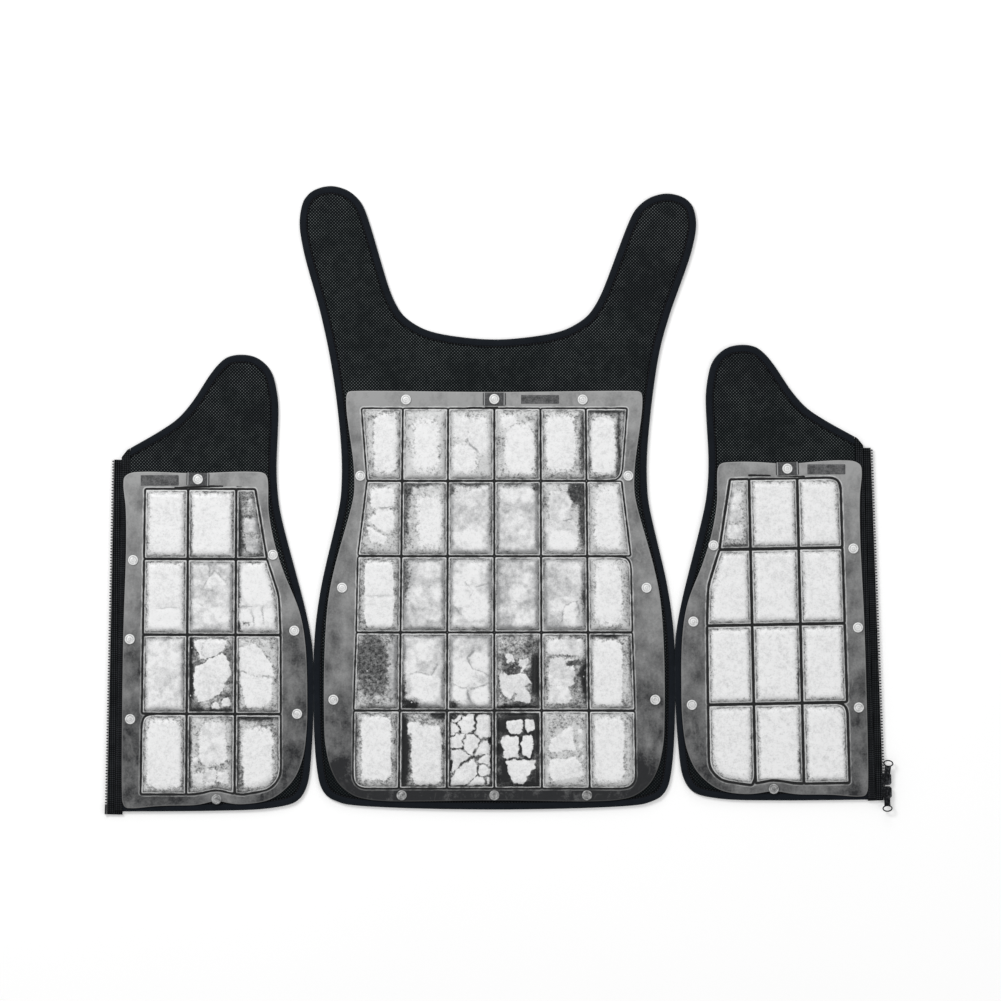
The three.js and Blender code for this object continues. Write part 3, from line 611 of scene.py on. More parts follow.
def ice_look():
    """Clear film over the fabric, with ice in its cells. Fields say where the cells, ice and rims are."""
    look = Look("ice_film", Specular_IOR_Level=0.22, Coat_Weight=0.12, Coat_Roughness=0.2)
    names = ("weld_mm", "line_half", "fold_mm", "firm", "frost", "slush", "rim_mm", "sheet_lighting", "specks")
    away, half, fold, firm, frost, slush, rim, sheet_lighting, specks = (look.attribute(name) for name in names)
    fine = look.sway(2.1, 3, 0.7)
    medium = look.sway(4.5, 3)
    outside = look.step(away, -0.1, 0.3)

    # Dark welds, each with a painted highlight along its rim and a thin painted shadow inside that
    wobble = look.sway(9, 3) * 1.5
    across = look.math("ABSOLUTE", away) - (half + wobble)
    weld = look.step(look.math("MINIMUM", across, fold + wobble), -0.15, 0.4, 1.0, 0.0)
    patches_and_shade = look.step(look.noise(10, 3), 0.36, 0.56, 0.3, 1.0)
    # Painted highlight: a light line beside each weld, broken in patches
    weld_glint = look.band(across, 1.05, 0.38, 0.5) * patches_and_shade
    # Painted shadow: a thin dark band just inside the highlight, in the cells only
    gap = look.band(across, 2.3, 0.25, 0.9) * look.step(look.noise(6, 3), 0.42, 0.6)
    gap = gap * look.math("SUBTRACT", 1.0, outside)

    # White ice, slush and clear water in the cells
    body = look.step(firm + (fine * 1.5 + medium * 1.6), -0.5, 0.7)
    white = look.mix(frost + (medium * 0.7 + fine * 0.95), (0.32, 0.325, 0.33), (0.86, 0.862, 0.865))
    grains = fine * 1.05 + medium * 0.8
    murk = slush + grains * look.step(slush, 0.08, 0.5, 0.3, 1.0)
    void = look.mix(look.step(murk, 0.07, 0.7), (0.014, 0.015, 0.016), (0.64, 0.645, 0.645))
    inputs = {"Vector": look.place, "Scale": 1 / (6 * MM)}
    spots = look.node("ShaderNodeTexVoronoi", "Distance", inputs, feature="F1")
    dots = look.step(spots, 0.2, 0.12) * specks * look.step(look.noise(14, 2), 0.5, 0.6)
    cell = look.mix(look.math("MAXIMUM", body, dots), void, white)
    # The painted shadow inside the highlight darkens the cell
    cell = look.mix(gap * 0.75, cell, (0.07, 0.072, 0.074))

    # The clouded flange, lighter toward the top by painted light, with a painted highlight along its cut edge
    # and painted highlights on faint wrinkles
    # Painted sheen: soft light streaks on the film's creases, mixed with its clouding
    crease_sheen = look.sway(13, 3, 0.6, stretch=(1, 0.5, 1))
    cloud_and_sheen = look.sway(34, 2) * 1.15 + medium * 0.22 + fine * 0.5 + crease_sheen * 0.75
    # Painted light: the flange is lighter toward the top of the sheet, with clouding over it
    flange = look.mix(sheet_lighting + cloud_and_sheen, (0.018, 0.019, 0.021), (0.34, 0.342, 0.342))
    highlight_grey = look.mix(sheet_lighting, 0.07, 0.44)
    # Painted highlights: thin light lines on faint wrinkles in the film
    wrinkle_glint = look.band(look.noise(30, 2, 0.6, stretch=(1, 0.55, 1)), 0.5, 0.003, 0.02)
    wrinkle_glint = wrinkle_glint * look.step(look.noise(22, 2), 0.5, 0.62, 0.0, 0.4)
    flange = look.mix(wrinkle_glint, flange, highlight_grey)
    # Painted highlight: a light line along the film's cut edge
    flange = look.mix(look.band(rim, 0.5, 0.4, 0.6) * 0.55, flange, highlight_grey)

    color = look.mix(outside, cell, flange)
    # The painted highlight is fainter outside the cells, and there fades further toward the bottom with the
    # painted light
    dulled = look.mix(outside, 0.85, look.step(sheet_lighting, 0.1, 0.7, 0.15, 0.55))
    color = look.mix(weld_glint * dulled, color, (0.76, 0.765, 0.765))
    color = look.mix(weld, color, (0.01, 0.0105, 0.011))
    rough = look.step(medium + body * 0.15, -0.25, 0.35, 0.32, 0.55)
    pucker = look.noise(7, 4, 0.6, stretch=(1, 0.45, 1))
    return look.wear(color, rough, look.bump(pucker * 0.8 + fine * 0.5, 0.7, 0.5))


def stud_look():
    look = Look("press_stud", Specular_IOR_Level=0.4, Coat_Weight=0.25, Coat_Roughness=0.2)
    radius = look.attribute("radius_mm")
    cloudy = look.noise(2.2, 3)
    color = look.mix(cloudy, (0.7, 0.705, 0.705), (0.92, 0.925, 0.92))
    # Painted shade in the ring groove, and a darker ring near the middle
    for middle, soft, share in ((4.1, 0.4, 0.6), (1.5, 0.5, 0.4)):
        color = look.mix(look.band(radius, middle, 0.2, soft) * share, color, (0.25, 0.252, 0.255))
    # Painted shade round the cap's outer edge, where it meets the film
    color = look.mix(look.step(radius, 5.6, 6.1) * 0.6, color, (0.3, 0.302, 0.305))
    # Painted shade: the stud darkens lower on the sheet, with some random variation
    color = look.mix(look.attribute("stud_shading") + look.sway(4, 2) * 1.2, (0.02, 0.021, 0.022), color)
    rough = look.step(cloudy, 0.3, 0.7, 0.28, 0.45)
    return look.wear(color, rough, look.bump(look.noise(0.8, 2), 0.05, 0.4))


def tab_look():
    look = Look("stud_tab", Specular_IOR_Level=0.3, Coat_Weight=0.15, Coat_Roughness=0.25)
    side = look.attribute("side_mm")
    weave = look.noise(0.7, 2, stretch=(1, 0.3, 1)) * look.noise(2.5, 2)
    color = look.mix(look.step(weave, 0.15, 0.5), (0.045, 0.046, 0.049), (0.13, 0.132, 0.135))
    color = look.mix(look.band(side, 1.6, 0.35, 0.4) * 0.8, color, (0.4, 0.405, 0.41))
    color = look.mix(look.band(side, 0.3, 0.3, 0.3), color, (0.02, 0.021, 0.022))
    return look.wear(color, look.step(weave, 0.1, 0.6, 0.45, 0.7), look.bump(weave, 0.15, 0.6))


def print_look():
    """A bare printed block."""
    look = Look("print", Specular_IOR_Level=0.35)
    wear_and_sheen = look.noise(1.3, 3, 0.7)
    shade = look.step(wear_and_sheen * 0.6 + look.noise(5, 2) * 0.4, 0.35, 0.7)
    color = look.mix(shade, (0.035, 0.036, 0.038), (0.16, 0.161, 0.164))
    return look.wear(color, look.step(wear_and_sheen, 0.3, 0.7, 0.45, 0.6), look.bump(wear_and_sheen, 0.06, 0.5))


def plastic_look():
    look = Look("zip_teeth", Specular_IOR_Level=0.5)
    moulded = look.noise(1.5, 2)
    color = look.mix(moulded, (0.008, 0.009, 0.01), (0.02, 0.021, 0.023))
    return look.wear(color, look.step(moulded, 0.3, 0.7, 0.28, 0.45), look.bump(moulded, 0.05, 0.3))


def metal_look():
    look = Look("zip_metal", Metallic=1.0)
    wear_and_sheen = look.step(look.noise(2.2, 4, 0.6), 0.45, 0.75)
    fine = look.noise(0.4, 2)
    color = look.mix(wear_and_sheen, (0.016, 0.017, 0.019), (0.085, 0.088, 0.094))
    return look.wear(color, look.step(fine, 0.3, 0.7, 0.22, 0.4), look.bump(fine, 0.03, 0.3))


NEAR_BLACK = (0.001, 0.0015, 0.002)
FABRIC = mesh_fabric()
BINDING = ribbed_tape("binding", (0.0055, 0.0075, 0.0105), (0.015, 0.0185, 0.0245), groove_shade=(9.0, 0.7, 0.7))
FACING = ribbed_tape("facing", NEAR_BLACK, (0.034, 0.037, 0.041), pitch=4.6, share=1.0, sunk=0.42)
TAPE = ribbed_tape("zip_tape", NEAR_BLACK, (0.036, 0.039, 0.043), pitch=5.0, share=1.0, sunk=0.42)
THREAD = thread_look()
ICE = ice_look()
STUD = stud_look()
TAB = tab_look()
PRINT = print_look()
TEETH = plastic_look()
METAL = metal_look()


# Camera

camera = bpy.data.objects.new("camera", bpy.data.cameras.new("camera"))
bpy.context.scene.collection.objects.link(camera)
camera.location = (0.0019, -0.0002, 6.0)
camera.data.lens = 179.8
camera.data.sensor_width = 36.0
camera.data.clip_start, camera.data.clip_end = 0.1, 100.0
bpy.context.scene.camera = camera


# Panels

# Distance in from the edge, and height: a pad's upper surface, and a binding's section
PAD_EDGE = [
    (7.0, 4.0), (8.6, 4.3), (9.7, 4.6), (10.4, 4.9), (11.4, 5.2), (12.8, 5.5), (14.8, 5.8), (18.0, 6.0),
]
BINDING_SECTION = [
    (0.0, 3.0), (0.15, 3.9), (0.7, 4.75), (1.7, 5.25), (3.2, 5.5), (5.2, 5.55), (7.0, 5.4), (8.1, 5.05),
    (STITCH_INSET, 4.72), (9.3, 4.85), (9.7, 4.95), (9.9, 4.9), (BINDING_WIDTH, 4.8), (9.9, 4.65),
    (7.8, 4.3), (3.0, 4.2), (1.4, 3.6), (1.1, 3.0),
]
BINDING_SECTION += [(inset, PAD_TOP - z) for inset, z in BINDING_SECTION[1:-1][::-1]]


def pad_heights(edge, film, seed):
    """Upper and lower surface of a padded panel: thin at its stitched edge, crowned clear of the sheets."""
    edge_fine = evenly(edge, 1.5, True)
    insets, tops = zip(*PAD_EDGE)

    def top(points):
        depth = distance_to(edge_fine, points)
        free = smooth_step(signed_distance(points, film), -2, 16)
        waves = noise(points, 30, seed) * 0.25 * smooth_step(depth, 12, 24)
        crown = smooth_step(depth, 12, 42) * 1.1 + waves
        return np.interp(depth, insets, tops) + crown * free

    def bottom(points):
        return PAD_TOP - np.interp(distance_to(edge_fine, points), insets, tops)

    return top, bottom


def pad_points(edge, normals, closed):
    insets = [row[0] for row in PAD_EDGE[1:]]
    rings = [offset(edge, normals, inset, closed) for inset in insets]
    inner = grid_in(edge.min(axis=0), edge.max(axis=0), PAD_STEP)
    depth = distance_to(evenly(edge, 1.5, closed), inner)
    return np.vstack(rings + [inner[depth > insets[-1] + PAD_STEP / 2]])


def add_shell(name, parts):
    shell = add_mesh(f"{name}_shell_pad", *joined(parts), FABRIC, "mesh_fabric", replaces=[f"{name}_shell"])


def add_binding(name, edge, normals, closed):
    """Tape folded over a panel's edge."""
    vertices, faces = swept(edge, normals, BINDING_SECTION, closed)
    fields = {"inset_mm": np.tile([inset for inset, _ in BINDING_SECTION], len(edge))}
    return add_mesh(
        f"{name}_binding_tape", vertices, faces, BINDING, "binding",
        replaces=[f"{name}_binding"], fields=fields,
    )


def add_binding_stitches(name, line, closed):
    rows = [stitches(line, height, closed) for height in (STITCH_HEIGHT, PAD_TOP - STITCH_HEIGHT)]
    add_mesh(f"{name}_binding_stitches", *joined(rows), THREAD, "binding")


def back_panel():
    outer = loops_at("back_binding", 0.0)[0]
    edge = smooth_path(outer, PANEL_STEP)
    normals = side_normals(edge, True)
    top, bottom = pad_heights(edge, loops_at("back_ice_sheet", FILM_BOTTOM)[0], 3)
    loop = offset(edge, normals, PAD_EDGE[0][0])
    add_shell("back", [slab(loop, pad_points(edge, normals, True), top, bottom)])
    add_binding("back", edge, normals, True)
    add_binding_stitches("back", offset(edge, normals, STITCH_INSET), True)


def front_panel(side):
    name = side.name
    loop = loops_at(f"{name}_binding", 0.0)[0]
    start = ZIP_EDGE + FACING_WIDTH + 2 * GAP

    # The binding's outer edge runs between the two cuts where it meets the facing, and on past them
    at_cut = np.abs(side.local(loop)[:, 0] - start) < 0.05
    first, second = [i for i in range(len(loop)) if at_cut[i] and at_cut[(i + 1) % len(loop)]][:2]
    chains = [loop[first + 1:second + 1], np.vstack([loop[second + 1:], loop[:first + 1]])]
    outer = max(chains, key=lambda chain: np.sum(np.linalg.norm(np.diff(chain, axis=0), axis=1)))
    ends = []
    for end, near in (outer[:2], outer[:-3:-1]):
        ends.append(end + (end - near) / np.linalg.norm(end - near) * OVERRUN)
    edge = smooth_path(np.vstack([ends[0], outer, ends[1]]), PANEL_STEP, closed=False)
    normals = side_normals(edge, False)
    if np.sum((edge.mean(axis=0) - edge) * normals) < 0:
        normals = -normals

    # The pad stops in a straight line at the facing
    film = loops_at(f"{name}_ice_sheet", FILM_BOTTOM)[0]
    step_in = start - GAP
    top, bottom = pad_heights(edge, film, 5 if name == "left" else 7)
    ring = side.local(offset(edge, normals, PAD_EDGE[0][0], False))
    kept = ring[ring[:, 0] > step_in + 0.05]
    crossing = []
    for a, b in zip(ring, ring[1:]):
        if (a[0] - step_in) * (b[0] - step_in) < 0:
            crossing.append(a + (b - a) * (step_in - a[0]) / (b[0] - a[0]))
    boundary = np.vstack([crossing[0], kept, crossing[-1]])
    straight = np.linspace(boundary[-1], boundary[0], 60)[1:-1]
    boundary = side.world(np.vstack([boundary, straight]))
    beside = []
    for d in (0.5, 1.6):
        beside.append(side.world(np.column_stack([np.full(len(straight), step_in + d), straight[:, 1]])))
    points = np.vstack([pad_points(edge, normals, False)] + beside)

    def top_here(points):
        return top(points) - 0.35 * smooth_step(side.local(points)[:, 0] - step_in, 1.2, 0)

    # A thin ledge of the panel's cloth carries the zip and its facing
    strip = side.local(loops_at(f"{name}_zip_facing", PAD_TOP)[0])
    strip[:, 0] = np.where(strip[:, 0] > ZIP_EDGE + 1, step_in + 0.4, ZIP_EDGE)
    ledge = slab(side.world(strip), [], 2.3, 0.05)
    add_shell(name, [slab(boundary, points, top_here, bottom), ledge])

    tape = add_binding(name, edge, normals, False)
    cut_at(tape, (*side.world([[start - 0.25, 0]])[0], 0), (*side.inward, 0))
    line = offset(edge, normals, STITCH_INSET, False)
    add_binding_stitches(name, line[side.local(line)[:, 0] > start + 1], False)


# Ice in the cells, in shares of each cell from its lower left corner. Blobs are white bodies (u, v, ru, rv),
# shards are bodies by their corners, and chunks the middles of broken pieces. Bright ones are whiter
# patches, dark ones clear water (u, v, ru, rv, brightness), and cracks are lines (u, v, u, v). Soft is how
# far a body fades out, and slush how bright the grains round it are.

# Shade is how much painted shade darkens the frost near a cell's edge.
WHITE = {"soft": 3.0, "frost": 0.93, "mottle": 0.1, "slush": 0.52, "margin": 2.0, "shade": 0.25}
FROSTY = {"soft": 4.0, "frost": 0.66, "mottle": 0.3, "slush": 0.5, "margin": 1.4, "shade": 0.6}
GREY = {"soft": 4.5, "frost": 0.46, "mottle": 0.34, "slush": 0.46, "margin": 1.4, "shade": 0.6}
CRISP = {"soft": 1.0, "frost": 0.86, "mottle": 0.14, "slush": 0.14, "margin": 1.5, "jag": 1.5}


def cell(kind, *blobs, **changes):
    return {**kind, "blobs": blobs, **changes}


BACK_CELLS = [
    [
        cell(WHITE, (0.6, 0.52, 0.32, 0.44), soft=1.8, slush=0.5),
        cell(WHITE, (0.52, 0.48, 0.32, 0.4), soft=4.0, slush=0.64),
        cell(
            WHITE, (0.35, 0.3, 0.3, 0.22), (0.68, 0.62, 0.26, 0.28), (0.26, 0.74, 0.22, 0.18),
            cracks=[(0.42, 0.55, 0.72, 0.36)], soft=2.6, slush=0.6, frost=0.86,
        ),
        cell(
            WHITE, (0.56, 0.42, 0.35, 0.38), (0.3, 0.84, 0.2, 0.09), soft=2.6, slush=0.54,
            dark=[(0.98, 0.5, 0.04, 0.3, 0.3)],
        ),
        cell(WHITE, (0.43, 0.52, 0.36, 0.42), soft=2.4, dark=[(0.96, 0.55, 0.07, 0.36, 0.22)], slush=0.52),
        cell(
            WHITE, (0.4, 0.48, 0.33, 0.42), soft=1.5, slush=0.46, dark=[(0.5, 0.99, 0.45, 0.04, 0.1),
            (0.82, 0.55, 0.03, 0.4, 0.1)],
        ),
    ],
    [
        cell(
            WHITE, (0.56, 0.78, 0.3, 0.15), soft=1.4, slush=0.5, shards=[[(0.2, 0.47), (0.5, 0.64),
            (0.84, 0.62), (0.86, 0.36), (0.7, 0.3), (0.3, 0.42)], [(0.16, 0.4), (0.6, 0.27), (0.7, 0.24),
            (0.62, 0.14), (0.3, 0.16)]], cracks=[(0.5, 0.64, 0.84, 0.67)],
        ),
        cell(
            WHITE, (0.62, 0.46, 0.3, 0.38), slush=0.58, soft=3.8, dark=[(0.02, 0.6, 0.11, 0.4, 0.26),
            (0.4, 1.0, 0.4, 0.05, 0.24), (0.08, 0.9, 0.12, 0.1, 0.2)],
        ),
        cell(
            FROSTY, frost=0.66, bright=[(0.45, 0.2, 0.3, 0.14)], dark=[(0.55, 1.0, 0.4, 0.045, 0.22),
            (0.04, 0.93, 0.1, 0.08, 0.25), (1.0, 0.4, 0.05, 0.2, 0.3)],
        ),
        cell(
            FROSTY, frost=0.46, dark=[(0.35, 1.0, 0.25, 0.035, 0.25), (0.97, 0.95, 0.1, 0.07, 0.2)],
            bright=[(0.3, 0.82, 0.2, 0.1), (0.74, 0.83, 0.18, 0.1), (0.45, 0.44, 0.3, 0.18),
            (0.72, 0.24, 0.2, 0.12)],
        ),
        cell(
            FROSTY, (0.42, 0.24, 0.4, 0.22), (0.42, 0.64, 0.28, 0.26), soft=2.0, frost=0.74, specks=1,
            dark=[(0.95, 0.9, 0.34, 0.2, 0.16), (0.98, 0.5, 0.14, 0.36, 0.2)], slush=0.52,
            bright=[(0.45, 0.2, 0.28, 0.14)], cracks=[(0.5, 0.48, 0.7, 0.5)],
        ),
        cell(WHITE, (0.48, 0.5, 0.33, 0.44), soft=3.2, slush=0.62),
    ],
    [
        cell(
            WHITE, (0.52, 0.5, 0.35, 0.46), power=9, soft=0.9, slush=0.5, crack=0.35,
            cracks=[(0.17, 0.49, 0.86, 0.485)], dark=[(0.02, 0.5, 0.03, 0.45, 0.3)],
        ),
        cell(
            FROSTY, frost=0.42, dark=[(0.02, 0.75, 0.12, 0.28, 0.26)], bright=[(0.62, 0.84, 0.3, 0.12),
            (0.42, 0.48, 0.2, 0.17), (0.78, 0.54, 0.14, 0.12), (0.35, 0.16, 0.2, 0.12),
            (0.72, 0.24, 0.2, 0.1)],
        ),
        cell(
            FROSTY, frost=0.7, crack=0.5, bright=[(0.5, 0.74, 0.2, 0.2), (0.2, 0.56, 0.15, 0.2),
            (0.6, 0.34, 0.3, 0.2)], cracks=[(0.33, 0.72, 0.5, 0.58), (0.42, 0.42, 0.56, 0.56),
            (0.08, 0.36, 0.3, 0.22), (0.6, 0.62, 0.9, 0.66)],
        ),
        cell(
            GREY, bright=[(0.5, 0.52, 0.2, 0.12), (0.3, 0.3, 0.2, 0.1), (0.66, 0.2, 0.2, 0.12),
            (0.7, 0.72, 0.14, 0.08)],
        ),
        cell(
            FROSTY, frost=0.54, dark=[(0.99, 0.44, 0.07, 0.16, 0.16)], crack=0.7,
            bright=[(0.72, 0.78, 0.15, 0.14), (0.46, 0.36, 0.3, 0.1), (0.62, 0.2, 0.14, 0.14)],
            cracks=[(0.48, 0.34, 0.46, 0.12), (0.5, 0.36, 0.78, 0.4), (0.78, 0.4, 0.88, 0.22)],
        ),
        cell(WHITE, (0.46, 0.5, 0.33, 0.44), soft=2.2, slush=0.56),
    ],
    [
        cell(
            GREY, (0.9, 0.5, 0.13, 0.46), frost=0.26, soft=3.2, slush=0.4, specks=1, jag=1.5,
            dark=[(0.38, 0.64, 0.34, 0.34, 0.22), (0.4, 0.3, 0.3, 0.1, 0.26)],
        ),
        cell(
            FROSTY, frost=0.56, soft=2.6, specks=1, slush=0.42, crack=0.7,
            dark=[(0.14, 0.04, 0.26, 0.08, 0.08), (0.04, 0.2, 0.05, 0.2, 0.12)],
            bright=[(0.56, 0.3, 0.34, 0.2), (0.55, 0.8, 0.2, 0.14), (0.2, 0.6, 0.12, 0.2)],
            cracks=[(0.14, 0.44, 0.34, 0.5), (0.34, 0.5, 0.68, 0.46), (0.68, 0.46, 0.85, 0.62)],
        ),
        cell(
            FROSTY, frost=0.62, crack=0.8, soft=2.6, dark=[(0.08, 0.05, 0.14, 0.05, 0.14)],
            bright=[(0.3, 0.5, 0.22, 0.2), (0.72, 0.6, 0.2, 0.16), (0.24, 0.22, 0.16, 0.1),
            (0.74, 0.18, 0.2, 0.14)], cracks=[(0.42, 0.68, 0.56, 0.54), (0.56, 0.54, 0.84, 0.46),
            (0.42, 0.68, 0.58, 0.77), (0.5, 0.26, 0.92, 0.34), (0.1, 0.32, 0.4, 0.28),
            (0.42, 0.26, 0.5, 0.08)],
        ),
        cell(
            CRISP, slush=0.36, frost=0.8, specks=1, shards=[[(0.18, 0.72), (0.4, 0.74), (0.44, 0.64),
            (0.24, 0.62)], [(0.5, 0.66), (0.74, 0.68), (0.7, 0.55), (0.6, 0.46), (0.55, 0.52)],
            [(0.07, 0.52), (0.27, 0.46), (0.66, 0.47), (0.84, 0.34), (0.69, 0.28), (0.82, 0.16),
            (0.8, 0.08), (0.66, 0.09), (0.49, 0.24), (0.31, 0.13), (0.1, 0.22)], [(0.48, 0.22),
            (0.66, 0.26), (0.78, 0.14), (0.6, 0.08), (0.42, 0.1)]], dark=[(0.94, 0.45, 0.14, 0.26, 0.06),
            (0.5, 0.01, 0.5, 0.04, 0.1), (0.36, 0.54, 0.2, 0.05, 0.2)],
        ),
        cell(
            FROSTY, (0.36, 0.84, 0.3, 0.11), (0.74, 0.83, 0.2, 0.11), (0.42, 0.5, 0.31, 0.2),
            (0.36, 0.19, 0.26, 0.12), frost=0.78, soft=1.2, slush=0.42, specks=1, jag=1.2,
            dark=[(0.98, 0.42, 0.12, 0.24, 0.07), (0.72, 0.62, 0.2, 0.04, 0.2)],
        ),
        cell(
            WHITE, (0.41, 0.49, 0.34, 0.44), power=9, soft=1.1, slush=0.5,
            dark=[(0.35, 1.0, 0.4, 0.04, 0.08), (0.95, 0.7, 0.04, 0.2, 0.2)],
        ),
    ],
    [
        cell(
            WHITE, (0.5, 0.53, 0.35, 0.43), power=9, soft=1.2, dark=[(0.0, 0.6, 0.04, 0.4, 0.1)],
            slush=0.48,
        ),
        cell(
            WHITE, (0.58, 0.43, 0.34, 0.41), (0.3, 0.8, 0.14, 0.07), power=7, soft=1.3, slush=0.34,
            frost=0.88, dark=[(0.05, 0.5, 0.12, 0.5, 0.05), (0.9, 0.98, 0.2, 0.06, 0.08)],
        ),
        cell(
            CRISP, gap=0.85, slush=0.16, margin=2.2, chunks=[(0.4, 0.84), (0.8, 0.8), (0.16, 0.62),
            (0.51, 0.59), (0.18, 0.4), (0.46, 0.22), (0.84, 0.5), (0.9, 0.36), (0.84, 0.22), (0.92, 0.08),
            (0.76, 0.06), (0.12, 0.98), (0.04, 0.76)], dark=[(0.08, 0.98, 0.1, 0.06, 0.1),
            (0.02, 0.28, 0.05, 0.08, 0.08), (0.96, 0.6, 0.06, 0.05, 0.08)],
        ),
        cell(
            CRISP, slush=0.07, shards=[[(0.26, 0.89), (0.6, 0.91), (0.62, 0.78), (0.5, 0.71), (0.28, 0.74),
            (0.22, 0.83)], [(0.66, 0.9), (0.87, 0.91), (0.89, 0.78), (0.72, 0.72), (0.64, 0.8)],
            [(0.15, 0.68), (0.47, 0.69), (0.51, 0.57), (0.53, 0.4), (0.2, 0.39), (0.12, 0.59)],
            [(0.6, 0.68), (0.83, 0.7), (0.87, 0.54), (0.76, 0.41), (0.64, 0.42), (0.56, 0.57)],
            [(0.24, 0.36), (0.87, 0.37), (0.89, 0.28), (0.67, 0.12), (0.62, 0.04), (0.4, 0.04),
            (0.28, 0.2)]],
        ),
        cell(
            WHITE, (0.86, 0.55, 0.05, 0.04), (0.9, 0.4, 0.05, 0.03), (0.88, 0.2, 0.05, 0.05),
            (0.84, 0.76, 0.05, 0.04), soft=1.3, slush=0.58, frost=0.88, jag=0.8, shards=[[(0.13, 0.64),
            (0.67, 0.84), (0.72, 0.5), (0.14, 0.46)], [(0.13, 0.38), (0.7, 0.4), (0.84, 0.3), (0.84, 0.12),
            (0.23, 0.08), (0.1, 0.22)]],
        ),
        cell(WHITE, (0.42, 0.5, 0.35, 0.44), power=8, soft=1.5, slush=0.54),
    ],
]

# From the zip to the side
LEFT_CELLS = [
    [
        cell(WHITE, slush=0.5),
        cell(WHITE, dark=[(0.0, 0.4, 0.05, 0.38, 0.2)], margin=2.2),
        cell(
            GREY, (0.52, 0.47, 0.26, 0.12), (0.55, 0.17, 0.24, 0.1), (0.6, 0.82, 0.2, 0.05), frost=0.36,
            soft=1.4, slush=0.34, jag=1.2, specks=1, dark=[(0.06, 0.4, 0.1, 0.45, 0.1)],
        ),
    ],
    [
        cell(
            WHITE, margin=2.0, frost=0.9, crack=0.4, cracks=[(0.3, 0.34, 0.85, 0.36)],
            bright=[(0.5, 0.2, 0.35, 0.14)],
        ),
        cell(
            FROSTY, frost=0.6, crack=0.5, bright=[(0.24, 0.42, 0.2, 0.08), (0.6, 0.7, 0.2, 0.1),
            (0.6, 0.24, 0.3, 0.12)], cracks=[(0.42, 0.98, 0.48, 0.8), (0.48, 0.8, 0.3, 0.6),
            (0.58, 0.88, 0.85, 0.68), (0.58, 0.88, 0.5, 0.8), (0.3, 0.36, 0.2, 0.42)],
        ),
        cell(
            WHITE, soft=2.0, slush=0.5, margin=2.0, crack=0.7, jag=1.3, cracks=[(0.0, 0.37, 0.36, 0.38),
            (0.36, 0.3, 0.4, 0.1), (0.64, 0.35, 0.62, 0.13)], bright=[(0.5, 0.7, 0.4, 0.3),
            (0.18, 0.22, 0.16, 0.12), (0.5, 0.22, 0.1, 0.12), (0.8, 0.24, 0.14, 0.1)], frost=0.74,
            dark=[(0.0, 0.1, 0.09, 0.08, 0.1), (0.0, 0.55, 0.045, 0.3, 0.16), (0.2, 0.13, 0.05, 0.02, 0.3)],
        ),
    ],
    [
        cell(FROSTY, frost=0.78, soft=3.0, dark=[(0.0, 0.5, 0.03, 0.4, 0.1)]),
        cell(
            CRISP, (0.84, 0.13, 0.1, 0.06), (0.6, 0.08, 0.08, 0.04), slush=0.36, specks=1, soft=1.0,
            shards=[[(0.16, 0.6), (0.46, 0.7), (0.76, 0.77), (0.92, 0.66), (0.95, 0.48), (0.73, 0.27),
            (0.51, 0.17), (0.24, 0.13), (0.16, 0.23), (0.08, 0.44)], [(0.14, 0.95), (0.46, 0.97),
            (0.82, 0.95), (0.84, 0.84), (0.62, 0.75), (0.41, 0.71), (0.27, 0.74), (0.16, 0.84)]],
            cracks=[(0.4, 0.96, 0.27, 0.82), (0.27, 0.82, 0.4, 0.73)], crack=0.6,
            dark=[(0.02, 0.6, 0.08, 0.5, 0.06), (0.5, 0.01, 0.5, 0.03, 0.1)],
        ),
        cell(
            WHITE, soft=1.3, slush=0.5, shards=[[(0.06, 0.86), (0.4, 0.92), (0.6, 0.83), (0.8, 0.66),
            (0.89, 0.48), (0.46, 0.5), (0.06, 0.56)], [(0.06, 0.545), (0.46, 0.485), (0.86, 0.45),
            (0.83, 0.17), (0.57, 0.06), (0.23, 0.06), (0.09, 0.33)]], dark=[(0.0, 0.3, 0.04, 0.3, 0.1)],
        ),
    ],
    [
        cell(WHITE, (0.52, 0.5, 0.42, 0.46), power=6, soft=2.2, slush=0.46, jag=1.0, specks=1),
        cell(
            FROSTY, (0.56, 0.64, 0.3, 0.28), (0.24, 0.2, 0.12, 0.08), (0.5, 0.22, 0.14, 0.09),
            (0.78, 0.2, 0.14, 0.1), (0.16, 0.42, 0.08, 0.05), (0.5, 0.1, 0.1, 0.04), frost=0.78, soft=1.4,
            slush=0.5, specks=1, jag=1.0, dark=[(0.0, 0.5, 0.06, 0.5, 0.08)],
        ),
        cell(
            WHITE, (0.5, 0.46, 0.36, 0.4), power=6, soft=1.8, slush=0.44, jag=1.0, specks=1,
            dark=[(0.45, 1.0, 0.5, 0.05, 0.12), (0.0, 0.5, 0.06, 0.5, 0.1)],
        ),
    ],
]
RIGHT_CELLS = [
    [
        cell(WHITE),
        cell(WHITE),
        cell(
            GREY, (0.55, 0.74, 0.28, 0.1), (0.5, 0.5, 0.28, 0.13), (0.5, 0.24, 0.32, 0.11),
            (0.6, 0.92, 0.2, 0.04), frost=0.66, soft=1.8, slush=0.5, dark=[(0.6, 0.03, 0.4, 0.03, 0.2)],
        ),
    ],
    [
        cell(WHITE),
        cell(WHITE, mottle=0.16, specks=1),
        cell(WHITE),
    ],
    [
        cell(WHITE),
        cell(WHITE, mottle=0.16, dark=[(0.98, 0.45, 0.02, 0.36, 0.1)]),
        cell(WHITE, mottle=0.14),
    ],
    [
        cell(WHITE, mottle=0.14),
        cell(WHITE, mottle=0.16, dark=[(0.97, 0.25, 0.03, 0.25, 0.1)], jag=1.0),
        cell(WHITE, soft=2.6, dark=[(1.0, 0.55, 0.02, 0.3, 0.1)], slush=0.5),
    ],
]


